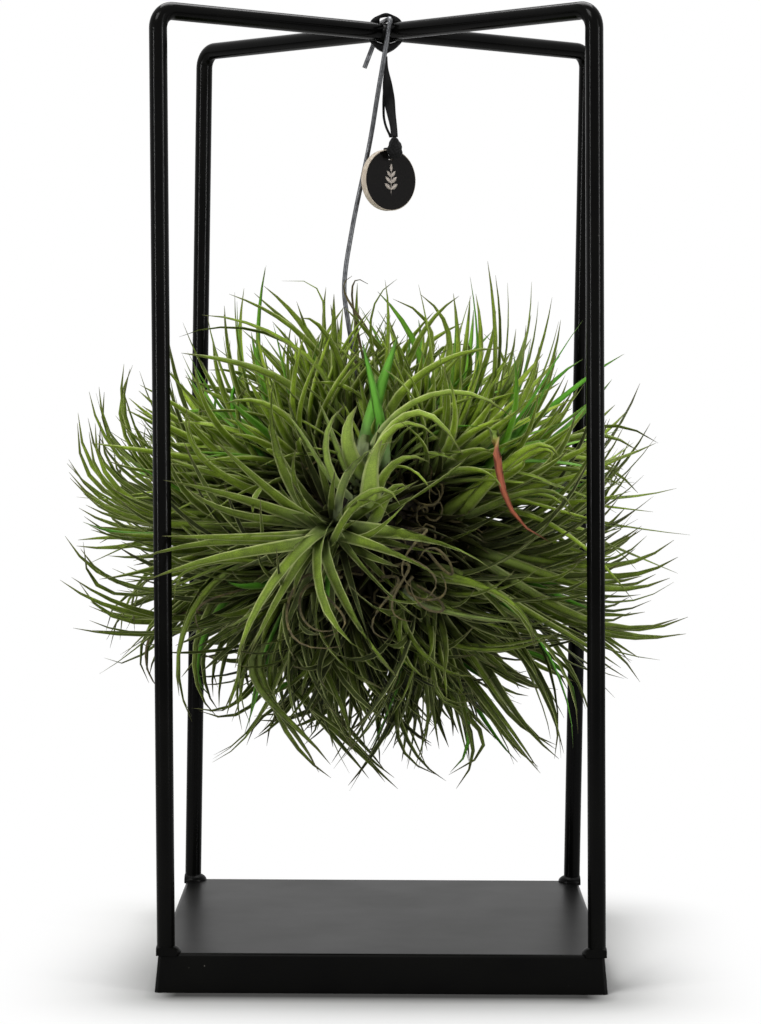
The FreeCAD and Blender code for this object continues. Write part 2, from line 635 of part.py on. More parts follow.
def make_tag():
    """The wooden disc with its hole, its black face and the ribbon through the hole."""
    disc = doc.addObject("PartDesign::Body", "tag_wood")
    rim = new_sketch(disc, "XZ_Plane", "tag_outline")
    add_circle(rim, "Sizes.tag_dia / 2")
    add_circle(rim, "Sizes.tag_hole_dia / 2", TAG_HOLE_RISE, "hole")
    slab = disc.newObject("PartDesign::Pad", "tag_slab")
    slab.Profile = rim
    slab.Midplane = True
    bind(slab, Length="Sizes.tag_thick")
    disc.Tip = slab
    disc.Placement = tag_placement()
    node(disc, "tag_disc")

    face = doc.addObject("PartDesign::Body", "tag_front")
    edge = new_sketch(face, "XZ_Plane", "tag_face_outline")
    add_circle(edge, "Sizes.tag_dia / 2 - Sizes.face_inset")
    add_circle(edge, "Sizes.tag_hole_dia / 2", TAG_HOLE_RISE, "hole")
    skin = face.newObject("PartDesign::Pad", "tag_face_skin")
    skin.Profile = edge
    bind(skin, Length="Sizes.face_thick")
    face.Tip = skin
    front = FreeCAD.Placement(Y_AXIS * (-size("tag_thick") / 2), FreeCAD.Rotation())
    face.Placement = tag_placement().multiply(front)
    node(face, "tag_face")

    eye = doc.addObject("PartDesign::Body", "ribbon_through_tag")
    band = new_sketch(eye, "YZ_Plane", "ribbon_eye_outline")
    front_in = "-(Sizes.tag_thick / 2 + Sizes.face_thick + Sizes.eye_gap)"
    rear_in = "(Sizes.tag_thick / 2 + Sizes.eye_gap)"
    top_in = "(Sizes.tag_dia / 2 + Sizes.eye_gap)"
    low_in = f"({TAG_HOLE_RISE} + Sizes.eye_thick / 2)"
    add_box_outline(band, front_in, rear_in, low_in, top_in, "inner")
    thick = "Sizes.eye_thick"
    add_box_outline(
        band,
        f"{front_in} - {thick}",
        f"{rear_in} + {thick}",
        f"{low_in} - {thick}",
        f"{top_in} + {thick}",
        "outer",
    )
    strip = eye.newObject("PartDesign::Pad", "ribbon_eye_band")
    strip.Profile = band
    strip.Midplane = True
    bind(strip, Length="Sizes.eye_width")
    eye.Tip = strip
    eye.Placement = tag_placement()
    node(eye, "ribbon_eye")

    knot = doc.addObject("Part::Ellipsoid", "ribbon_knot")
    bind(
        knot,
        Radius1="Sizes.knot_height / 2",
        Radius2="Sizes.knot_width / 2",
        Radius3="Sizes.knot_depth / 2",
    )
    knot.Placement = tag_placement().multiply(FreeCAD.Placement(knot_centre(), FreeCAD.Rotation()))
    node(knot, "ribbon_knot")


def polyhedron(faces):
    """A solid with flat faces, each a list of points."""
    shell = Part.Shell([Part.Face(Part.makePolygon(face + face[:1])) for face in faces])
    solid = Part.Solid(shell)
    if solid.Volume < 0:
        solid.reverse()
    return solid


def faceted_egg(centre, axis, across, along, sides, ring_angles):
    """An egg with flat faces: rings of points about an axis, between two poles."""
    turn = FreeCAD.Placement(centre, FreeCAD.Rotation(Z_AXIS, axis))
    rings = []
    for angle in ring_angles:
        level = math.radians(angle)
        ring = []
        for number in range(sides):
            round_angle = 2 * math.pi * number / sides
            x = across * math.cos(level) * math.cos(round_angle)
            y = across * math.cos(level) * math.sin(round_angle)
            ring.append(turn.multVec(FreeCAD.Vector(x, y, along * math.sin(level))))
        rings.append(ring)
    low = turn.multVec(FreeCAD.Vector(0, 0, -along))
    high = turn.multVec(FreeCAD.Vector(0, 0, along))
    faces = []
    for number in range(sides):
        after = (number + 1) % sides
        faces.append([low, rings[0][after], rings[0][number]])
        faces.append([high, rings[-1][number], rings[-1][after]])
        for under, over in zip(rings, rings[1:]):
            faces.append([under[number], under[after], over[after], over[number]])
    return polyhedron(faces)


def direction(azimuth, elevation):
    """A unit vector from two angles in degrees."""
    turn = math.radians(azimuth)
    rise = math.radians(elevation)
    return FreeCAD.Vector(math.cos(turn) * math.cos(rise), math.sin(turn) * math.cos(rise), math.sin(rise))


def core_centre():
    """The middle of the matted stems."""
    return FreeCAD.Vector(size("plant_offset"), 0, wire_end_level - size("wire_end_rise"))


def bulb_centre(azimuth, elevation):
    """The middle of a rosette's base, half sunk in the core."""
    way = direction(azimuth, elevation)
    across = size("core_width") / 2 * BULB_SEAT_SHARE
    along = size("core_tall") / 2 * BULB_SEAT_SHARE
    return core_centre() + FreeCAD.Vector(way.x * across, way.y * across, way.z * along)


def unevenness(number):
    """A steady but uneven number from 0 to 1 for a leaf."""
    value = math.sin(number * 12.9898 + 4.1) * 43758.5453
    return value - math.floor(value)


def leaf_line(base, axis, round_angle, outness, opening, length, lift):
    """A leaf's corners from its root in the bulb to its tip, and the direction across it."""
    helper = Z_AXIS if abs(axis.z) < UPRIGHT_SHARE else X_AXIS
    first = axis.cross(helper).normalize()
    second = axis.cross(first)
    turn = math.radians(round_angle)
    outwards = first * math.cos(turn) + second * math.sin(turn)
    inmost, outmost = ROOT_HEIGHT_SHARES
    height = size("bulb_length") * (inmost + (outmost - inmost) * outness)
    point = base + axis * height + outwards * (size("bulb_width") * ROOT_OFFSET_SHARE)
    line = [point]
    for number in range(LEAF_STEPS):
        share = (number + 0.5) / LEAF_STEPS
        spread = math.radians(opening * (LEAF_ROOT_SPREAD_SHARE + LEAF_GAINED_SPREAD_SHARE * share))
        way = axis * math.cos(spread) + outwards * math.sin(spread)
        way = (way + Z_AXIS * (LEAF_LIFT_SHARE * lift * share * share)).normalize()
        point = point + way * (length / LEAF_STEPS)
        line.append(point)
    stations = [line[round(share * LEAF_STEPS)] for share in LEAF_STATION_SHARES]
    return stations, outwards.cross(axis).normalize()


def gap_between(start_a, end_a, start_b, end_b):
    """The least distance between two straight stretches."""
    u = end_a - start_a
    v = end_b - start_b
    w = start_a - start_b
    a = u.dot(u)
    b = u.dot(v)
    c = v.dot(v)
    d = u.dot(w)
    e = v.dot(w)
    spread = a * c - b * b
    along_a = 0.0 if spread < 1e-9 else min(1.0, max(0.0, (b * e - c * d) / spread))
    along_b = (b * along_a + e) / c
    along_b = min(1.0, max(0.0, along_b))
    along_a = min(1.0, max(0.0, (b * along_b - d) / a))
    return (w + u * along_a - v * along_b).Length


def half_widths():
    """Half of a leaf's width at each of its stations."""
    return [share * size("leaf_width") / 2 for share in LEAF_WIDTH_SHARES]


def stretches(stations):
    """A leaf's straight stretches with the larger half width of each."""
    halves = half_widths()
    return [(a, b, half) for a, b, half in zip(stations, stations[1:], halves)]


def obstacles():
    """What leaves keep clear of: the ends of each straight stretch and the room round it."""
    points = wire_points()
    wire_room = size("wire_dia") / 2 + size("wire_gap")
    found = [(a, b, wire_room) for a, b in zip(points, points[1:])]
    post_room = size("rod_dia") / 2 + size("post_gap")
    found += [(a, b, post_room) for a, b in post_stretches()]
    tag_top = FreeCAD.Vector(size("tag_offset"), 0, strand_top)
    tag_foot = FreeCAD.Vector(size("tag_offset"), 0, tag_level)
    found.append((tag_top, tag_foot, size("tag_dia") / 2 + size("tag_gap")))
    return found


def post_stretches():
    """The posts as the plant sees them, however far it has swung and turned."""
    pivot = Z_AXIS * hook_level
    spindle = X_AXIS * wire_end_x
    seen = []
    for _, sign_x, sign_y in CORNERS:
        place = rod_placement(sign_x, sign_y)
        top = place.multVec(X_AXIS * corner_reach)
        foot = foot_point(sign_x, sign_y)
        for swing in (-size("swing_right"), 0, size("swing_left")):
            unswing = FreeCAD.Rotation(Y_AXIS, -swing)
            for turn in (-size("plant_turn"), 0, size("plant_turn")):
                unturn = FreeCAD.Rotation(Z_AXIS, -turn)
                ends = []
                for end in (top, foot):
                    swung = unswing.multVec(end - pivot) + pivot
                    ends.append(unturn.multVec(swung - spindle) + spindle)
                seen.append((ends[0], ends[1]))
    return seen


def is_clear(parts, others, bulbs, fixed):
    """Whether a leaf's stretches keep their gaps to everything that isn't its own rosette."""
    leaf_gap = size("leaf_gap")
    bulb_room = max(size("bulb_width"), size("bulb_length")) / 2 + leaf_gap
    middle = core_centre()
    for a, b, half in parts:
        if b.z - half < size("base_height") + size("tag_gap"):
            return False
        for c, d, room in fixed:
            if gap_between(a, b, c, d) < room + half:
                return False
        for centre in bulbs:
            if centre.distanceToLineSegment(a, b).Length < bulb_room + half:
                return False
        off = b - middle
        across = size("core_width") / 2 + half
        along = size("core_tall") / 2 + half
        if (off.x / across) ** 2 + (off.y / across) ** 2 + (off.z / along) ** 2 < 1:
            return False
        for c, d, other_half in others:
            room = half + other_half + leaf_gap
            if a.distanceToPoint(c) > room + (b - a).Length + (d - c).Length:
                continue
            if gap_between(a, b, c, d) < room:
                return False
    return True


def leaf_solid(stations, side):
    """A tapering leaf with a keel, of flat three-sided faces."""
    halves = half_widths()
    rings = []
    for number, point in enumerate(stations[:-1]):
        ahead = (stations[number + 1] - point).normalize()
        across = (side - ahead * side.dot(ahead)).normalize()
        under = ahead.cross(across)
        keel = size("leaf_thick") * LEAF_WIDTH_SHARES[number]
        half = halves[number]
        rings.append([point - across * half, point + across * half, point + under * keel])
    tip = stations[-1]
    faces = [rings[0][::-1]]
    for under, over in zip(rings, rings[1:]):
        for number in range(len(under)):
            after = (number + 1) % len(under)
            faces.append([under[number], under[after], over[after]])
            faces.append([under[number], over[after], over[number]])
    last = rings[-1]
    for number in range(len(last)):
        faces.append([last[number], last[(number + 1) % len(last)], tip])
    return polyhedron(faces)


def make_core():
    """The matted stems, with the hole that the wire's end stands in."""
    core = faceted_egg(
        core_centre(), Z_AXIS, size("core_width") / 2, size("core_tall") / 2, CORE_SIDES, CORE_RINGS
    )
    bore_radius = size("wire_dia") / 2 + size("bore_clearance")
    bore_foot = FreeCAD.Vector(wire_end_x, 0, wire_end_level - size("bore_clearance"))
    core = core.cut(Part.makeCylinder(bore_radius, size("core_tall"), bore_foot, Z_AXIS))
    node(feature("plant_core", core), "plant_core")
    return core


def rosette_leaves(place, row, taken, fixed, bulbs):
    """The leaves of one rosette, each turned and shortened until it is clear of the rest."""
    name, _, _, azimuth, elevation, count, length_share, inner, outer, lift = row
    axis = direction(azimuth, elevation)
    others = [bulb for label, bulb in bulbs.items() if label != name]
    leaves = []
    mine = []
    for number in range(count):
        wobble = unevenness(place * len(ROSETTES) + number)
        outness = (number + 0.5) / count
        opening = inner + (outer - inner) * outness
        length = size("leaf_length") * length_share * (SHORT_LEAF_SHARE + LONG_LEAF_GAIN_SHARE * wobble)
        for attempt in range(LEAF_TRIES):
            round_angle = GOLDEN_ANGLE * (number + place) + TRY_TURN * attempt * (-1) ** attempt
            reach = length * (1 - TRY_SHORTENING_SHARE * attempt)
            line, side = leaf_line(bulbs[name], axis, round_angle, outness, opening, reach, lift)
            parts = stretches(line)
            if is_clear(parts, taken, others, fixed):
                leaves.append(leaf_solid(line, side))
                mine.extend(parts)
                break
    print(name, "leaves", len(leaves), "of", count)
    return leaves, mine


def make_plant():
    """The clump: a core of matted stems and rosettes whose leaves keep clear of one another."""
    core = make_core()
    fixed = obstacles()
    bulbs = {row[0]: bulb_centre(row[1], row[2]) for row in ROSETTES}
    taken = []
    seated = [core]
    for place, row in enumerate(ROSETTES):
        name, _, _, azimuth, elevation = row[:5]
        axis = direction(azimuth, elevation)
        bulb = faceted_egg(
            bulbs[name], axis, size("bulb_width") / 2, size("bulb_length") / 2, BULB_SIDES, BULB_RINGS
        )
        leaves, mine = rosette_leaves(place, row, taken, fixed, bulbs)
        taken.extend(mine)
        near = [shape for shape in seated if shape.BoundBox.intersect(bulb.BoundBox)]
        seated.append(bulb)
        whole = bulb.fuse(leaves).cut(near)
        largest = max(whole.Solids, key=lambda solid: solid.Volume)
        node(feature(f"rosette_{name}", largest), f"rosette_{name}")


def make_holder():
    """All pieces, in the order in which the holder is put together."""
    tray = make_tray()
    below_plate = doc.addObject("Part::Box", "below_plate")
    bind(below_plate, Length="2 * Sizes.base_width", Width="2 * Sizes.base_width", Height="Sizes.base_height")
    below_plate.setExpression(".Placement.Base.x", "-Sizes.base_width")
    below_plate.setExpression(".Placement.Base.y", "-Sizes.base_width")
    for name, sign_x, sign_y in CORNERS:
        make_rod(name, sign_x, sign_y, below_plate)
    make_crossing_weld()
    make_foot_welds(tray)
    make_wire()
    make_ribbon_loop()
    make_strands()
    make_tag()
    make_plant()


def check_and_export():
    """Stops if anything failed to compute, and writes each piece."""
    doc.recompute()
    for thing in doc.Objects:
        if "Invalid" in thing.State or "Error" in thing.State:
            raise RuntimeError(f"{thing.Name} failed: {thing.State}")
    for thing in nodes:
        shape = thing.Shape
        if shape.isNull() or not shape.isValid() or not shape.Solids:
            raise RuntimeError(f"{thing.Label} has no valid solid")
    os.makedirs("parts", exist_ok=True)
    for thing in nodes:
        thing.Shape.exportStep(os.path.join("parts", thing.Label + ".step"))


make_holder()
check_and_export()
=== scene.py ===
# %% [markdown]
# A stand of black steel carries a clump of air plants on a wire. The steel parts come ready made
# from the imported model. This lesson gives them their finishes and grows the soft things, the
# leaves, the dry stems and the ribbon, as surfaces worked out with numpy.

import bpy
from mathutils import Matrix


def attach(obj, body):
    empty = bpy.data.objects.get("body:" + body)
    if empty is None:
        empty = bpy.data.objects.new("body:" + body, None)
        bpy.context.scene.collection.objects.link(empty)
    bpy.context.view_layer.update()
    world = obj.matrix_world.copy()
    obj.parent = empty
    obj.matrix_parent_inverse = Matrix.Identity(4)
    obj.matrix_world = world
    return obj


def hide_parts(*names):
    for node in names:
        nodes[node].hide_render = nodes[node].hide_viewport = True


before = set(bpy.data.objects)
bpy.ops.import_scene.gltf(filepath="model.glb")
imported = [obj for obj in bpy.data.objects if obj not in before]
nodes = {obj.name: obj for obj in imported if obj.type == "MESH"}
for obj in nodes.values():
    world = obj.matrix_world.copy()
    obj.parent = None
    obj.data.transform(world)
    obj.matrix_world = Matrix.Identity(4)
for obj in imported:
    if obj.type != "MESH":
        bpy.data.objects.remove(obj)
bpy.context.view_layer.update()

# %% [markdown]
# numpy works on whole arrays of points, so one line of arithmetic bends every leaf at once.
# Lengths are written in millimetres, as a gardener would measure them, and turned to metres once.

# %% Tools and units
import math

import bpy
import numpy as np
from mathutils import Matrix

MM = 0.001
TURN = 2 * math.pi
print(len(nodes), "nodes in the model")

# %% [markdown]
# The photograph was taken from about a metre and a half away with a long lens, a little above
# the middle of the stand. The camera's place and its three angles were worked out from the
# corners of the tray and the ends of the rods.

# %% The camera
CAMERA_PLACE = (2.233 * MM, -1456.565 * MM, 280.229 * MM)
CAMERA_YAW = -0.00259
CAMERA_PITCH = -0.04995
CAMERA_ROLL = 0.00452
LENS_MM = 109.34

forward = np.array(
    [
        math.sin(CAMERA_YAW) * math.cos(CAMERA_PITCH),
        math.cos(CAMERA_YAW) * math.cos(CAMERA_PITCH),
        math.sin(CAMERA_PITCH),
    ]
)
level_right = np.array([math.cos(CAMERA_YAW), -math.sin(CAMERA_YAW), 0.0])
level_up = np.cross(level_right, forward)
camera_right = math.cos(CAMERA_ROLL) * level_right + math.sin(CAMERA_ROLL) * level_up
camera_up = math.cos(CAMERA_ROLL) * level_up - math.sin(CAMERA_ROLL) * level_right

camera = bpy.data.objects.new("camera", bpy.data.cameras.new("camera"))
camera.data.lens = LENS_MM
bpy.context.scene.collection.objects.link(camera)
turn = np.column_stack([camera_right, camera_up, -forward])
camera.matrix_world = Matrix.Translation(CAMERA_PLACE) @ Matrix(turn.tolist()).to_4x4()
bpy.context.scene.camera = camera
print("camera placed")

# %% [markdown]
# Colours are written as sRGB hex values, the way a paint chart gives them, but shaders count in
# linear light. One function turns the first into the second. Another adds a node with its
# settings and its links, so that each finish below reads like a list. What goes into a node is a
# number, a socket, or a whole node, and then the first of its outputs that is in use.

# %% Colour and node helpers
LINEAR_LIMIT = 0.04045
LINEAR_SLOPE = 12.92
SRGB_OFFSET = 0.055
SRGB_POWER = 2.4
WHITE = (1.0, 1.0, 1.0, 1.0)


def linear(code):
    """sRGB to linear: each channel over 255, then the sRGB curve undone, with alpha 1."""
    channels = [int(code[i : i + 2], 16) / 255 for i in (1, 3, 5)]
    return [
        c / LINEAR_SLOPE if c <= LINEAR_LIMIT else ((c + SRGB_OFFSET) / (1 + SRGB_OFFSET)) ** SRGB_POWER
        for c in channels
    ] + [1.0]


def connect(tree, node, **inputs):
    """Sets or links a node's inputs; _2 means the third one, Base_Color the one named Base Color."""
    for name, value in inputs.items():
        key = int(name[1:]) if name[0] == "_" else name.replace("_", " ")
        if isinstance(value, bpy.types.Node):
            value = next(output for output in value.outputs if output.enabled)
        if isinstance(value, bpy.types.NodeSocket):
            tree.links.new(value, node.inputs[key])
        else:
            node.inputs[key].default_value = value
    return node


def add(tree, kind, settings=None, stops=(), **inputs):
    """A node with its settings and inputs; stops are a colour ramp's (position, hex) pairs."""
    made = tree.nodes.new(kind)
    for name, value in (settings or {}).items():
        setattr(made, name, value)
    if stops:
        elements = made.color_ramp.elements
        for _ in stops[2:]:
            elements.new(1.0)
        for element, (place, code) in zip(elements, stops):
            element.position = place
            element.color = linear(code)
    return connect(tree, made, **inputs)


def empty_tree(owner):
    """The node tree of a material or a world, emptied."""
    owner.use_nodes = True
    owner.node_tree.nodes.clear()
    return owner.node_tree


def new_material(name):
    """A material with no more than a Principled shader; the tree and the shader come with it."""
    material = bpy.data.materials.new(name)
    tree = empty_tree(material)
    shader = add(tree, "ShaderNodeBsdfPrincipled")
    add(tree, "ShaderNodeOutputMaterial", Surface=shader)
    return material, tree, shader


def per_metre(size_mm):
    """A texture's scale, from the size in millimetres of what it draws."""
    return 1 / (size_mm * MM)


print("black of the coat in linear light", [round(c, 4) for c in linear("#060605")])

# %% [markdown]
# The steel is powder coated: dry plastic powder, baked until it flows together. That leaves a
# satin black skin with a faint orange peel just under a millimetre across, slightly duller
# where hands rubbed it. The coat is a plastic, so it keeps a plastic's index of refraction.

# %% Powder coat
PEEL_MM = 0.9
PEEL_DEPTH_MM = 0.03
RUB_MM = 34.0
SPECK_MM = 5.5
PLASTIC_IOR = 1.5


def powder_coat(name, smooth, rough_most):
    """Near-black coat: cloudy roughness, orange-peel bump and a few pale specks of dust.

    A speck is the heart of a cell of grains, kept where the cloud is thick."""
    material, tree, shader = new_material(name)
    place = add(tree, "ShaderNodeTexCoord").outputs["Object"]
    cloud = add(tree, "ShaderNodeTexNoise", Vector=place, Scale=per_metre(RUB_MM), Detail=3.0)
    peel = add(tree, "ShaderNodeTexNoise", Vector=place, Scale=per_metre(PEEL_MM), Detail=2.0)
    grains = add(tree, "ShaderNodeTexVoronoi", Vector=place, Scale=per_metre(SPECK_MM))
    heart = add(tree, "ShaderNodeMapRange", Value=grains, _1=0.025, _2=0.06, _3=1.0, _4=0.0)
    thick = add(tree, "ShaderNodeMapRange", Value=cloud, _1=0.52, _2=0.66, _3=0.0, _4=1.0)
    speck = add(tree, "ShaderNodeMath", {"operation": "MULTIPLY"}, _0=heart, _1=thick)
    black = add(tree, "ShaderNodeValToRGB", stops=[(0.3, "#020202"), (0.7, "#060605")], Fac=cloud)
    dust = linear("#5c5a55")
    colour = add(tree, "ShaderNodeMix", {"data_type": "RGBA"}, _0=speck, _6=black, _7=dust)
    rough = add(tree, "ShaderNodeMapRange", Value=cloud, _1=0.3, _2=0.7, _3=smooth, _4=rough_most)
    dents = add(tree, "ShaderNodeBump", Height=peel, Distance=PEEL_DEPTH_MM * MM, Strength=0.5)
    connect(tree, shader, Base_Color=colour, Roughness=rough, Normal=dents)
    connect(tree, shader, IOR=PLASTIC_IOR, Specular_IOR_Level=0.05)
    return material


coat = powder_coat("powder_coated_sheet", 0.34, 0.38)
rod_coat = powder_coat("powder_coated_rod", 0.13, 0.20)
print("made", coat.name, "and", rod_coat.name)

# %% [markdown]
# The hanger is galvanised wire. Zinc is a grey metal, dulled by handling, with drawing marks
# that run along the wire and small clouds where the zinc set unevenly.

# %% Galvanised wire
DRAWN_MM = 0.35
DRAWN_DEPTH_MM = 0.02
ALONG_WIRE = (1.0, 1.0, 0.06)
ZINC_MM = 2.4


def galvanised():
    """Grey metal: streaks that are long in z, from noise squeezed across, and zinc clouds."""
    material, tree, shader = new_material("galvanised_wire")
    place = add(tree, "ShaderNodeTexCoord").outputs["Object"]
    squeezed = add(tree, "ShaderNodeMapping", Vector=place, Scale=ALONG_WIRE)
    streak = add(tree, "ShaderNodeTexNoise", Vector=squeezed, Scale=per_metre(DRAWN_MM), Detail=2.0)
    cloud = add(tree, "ShaderNodeTexNoise", Vector=place, Scale=per_metre(ZINC_MM), Detail=3.0)
    grey = add(tree, "ShaderNodeValToRGB", stops=[(0.3, "#3c3d3f"), (0.7, "#606163")], Fac=cloud)
    rough = add(tree, "ShaderNodeMapRange", Value=streak, _1=0.3, _2=0.7, _3=0.34, _4=0.55)
    marks = add(tree, "ShaderNodeBump", Height=streak, Distance=DRAWN_DEPTH_MM * MM, Strength=0.6)
    connect(tree, shader, Base_Color=grey, Roughness=rough, Normal=marks, Metallic=0.85)
    return material


zinc = galvanised()
print("made", zinc.name)

# %% [markdown]
# The tag is a slice of pale wood, probably birch, sawn across and left raw at its rim. Its front
# is painted a deep satin black.

# %% Wood and paint for the tag
GRAIN_MM = 0.9
PORE_MM = 0.35
PORE_DEPTH_MM = 0.05
ALONG_GRAIN = (1.0, 1.0, 0.12)
BRUSH_MM = 0.8
BRUSH_DEPTH_MM = 0.02


def raw_birch():
    """Pale wood: layered grain and shallow pores, both from noise stretched along z."""
    material, tree, shader = new_material("raw_birch")
    place = add(tree, "ShaderNodeTexCoord").outputs["Object"]
    stretched = add(tree, "ShaderNodeMapping", Vector=place, Scale=ALONG_GRAIN)
    grain = add(tree, "ShaderNodeTexNoise", Vector=stretched, Scale=per_metre(GRAIN_MM), Detail=4.0)
    pores = add(tree, "ShaderNodeTexNoise", Vector=stretched, Scale=per_metre(PORE_MM))
    layers = [(0.25, "#8a7d6e"), (0.5, "#a99d8d"), (0.75, "#c2b8a9")]
    tone = add(tree, "ShaderNodeValToRGB", stops=layers, Fac=grain)
    dents = add(tree, "ShaderNodeBump", Height=pores, Distance=PORE_DEPTH_MM * MM, Strength=0.6)
    connect(tree, shader, Base_Color=tone, Roughness=0.62, Normal=dents)
    return material


def tag_paint():
    """Satin black paint whose brush marks show faintly in its tone and as a bump."""
    material, tree, shader = new_material("satin_black_paint")
    place = add(tree, "ShaderNodeTexCoord").outputs["Object"]
    marks = add(tree, "ShaderNodeTexNoise", Vector=place, Scale=per_metre(BRUSH_MM), Detail=3.0)
    tone = add(tree, "ShaderNodeValToRGB", stops=[(0.3, "#060505"), (0.7, "#0e0c0b")], Fac=marks)
    ridges = add(tree, "ShaderNodeBump", Height=marks, Distance=BRUSH_DEPTH_MM * MM, Strength=0.4)
    connect(tree, shader, Base_Color=tone, Roughness=0.5, Normal=ridges, Specular_IOR_Level=0.06)
    return material


birch = raw_birch()
paint = tag_paint()
print("made", birch.name, "and", paint.name)

# %% [markdown]
# The ribbon is black satin: floating threads lie side by side, so it has a soft sheen along its
# length and a fine rib across. The rib is about 0.4 mm, drawn a little coarser than it is.

# %% Satin ribbon
RIB_MM = 0.55
RIB_DEPTH_MM = 0.05
# One unit of the ribbon's UV map is 10 mm; a wave texture of scale 1 repeats every tenth of pi.
UV_UNIT_MM = 10.0
WAVE_LENGTH = math.pi / 10
RIB_SCALE = UV_UNIT_MM * WAVE_LENGTH / RIB_MM


def satin():
    """Black cloth: a wave along v of the piece's own UV map gives the ribs, with a soft sheen."""
    material, tree, shader = new_material("black_satin_ribbon")
    flat = add(tree, "ShaderNodeTexCoord").outputs["UV"]
    along_v = {"bands_direction": "Y"}
    wave = add(tree, "ShaderNodeTexWave", along_v, Vector=flat, Scale=RIB_SCALE, Distortion=0.6)
    ribs = wave.outputs["Fac"]
    tone = add(tree, "ShaderNodeValToRGB", stops=[(0.0, "#030303"), (1.0, "#0b0b0b")], Fac=ribs)
    threads = add(tree, "ShaderNodeBump", Height=ribs, Distance=RIB_DEPTH_MM * MM, Strength=0.7)
    connect(tree, shader, Base_Color=tone, Roughness=0.5, Normal=threads, Specular_IOR_Level=0.08)
    connect(tree, shader, Sheen_Weight=0.06, Sheen_Roughness=0.4)
    return material


ribbon_cloth = satin()
print("made", ribbon_cloth.name)

# %% [markdown]
# An air plant drinks through its leaves. They are covered with fine silvery scales, thickest at
# the base, so a leaf runs from grey green at its foot through fresh green to a tip that dries to
# brown. Its margins are pale, and faint veins run along it. Each leaf carries four numbers: its
# tone, how silvery it is, how fresh its green is, and a blush that comes before flowering. The
# colours are laid over the green one after another, each with its own share.

# %% Leaf tissue
LEAF_NUMBERS = ("tone", "silver", "fresh", "blush")
SCALE_MM = 0.5
SCALE_DEPTH_MM = 0.09
SCALE_SPAN = 0.50
MOTTLE_MM = 7.0
MOTTLE_SPAN = 0.44
# A wave of scale 1 repeats every tenth of pi, so five units across a leaf hold sixteen veins.
ALONG_LEAF = (5.0, 0.2, 1.0)
VEIN_DEPTH_MM = 0.10
PLANT_MIDDLE = np.array([-6.0, 0.0, 203.0])
SHADED_MM = 42.0
SUNLIT_MM = 84.0
GREENS = [(0.0, "#1c210a"), (0.25, "#394410"), (0.5, "#5e721a"), (0.75, "#839d27"), (1.0, "#acc63f")]


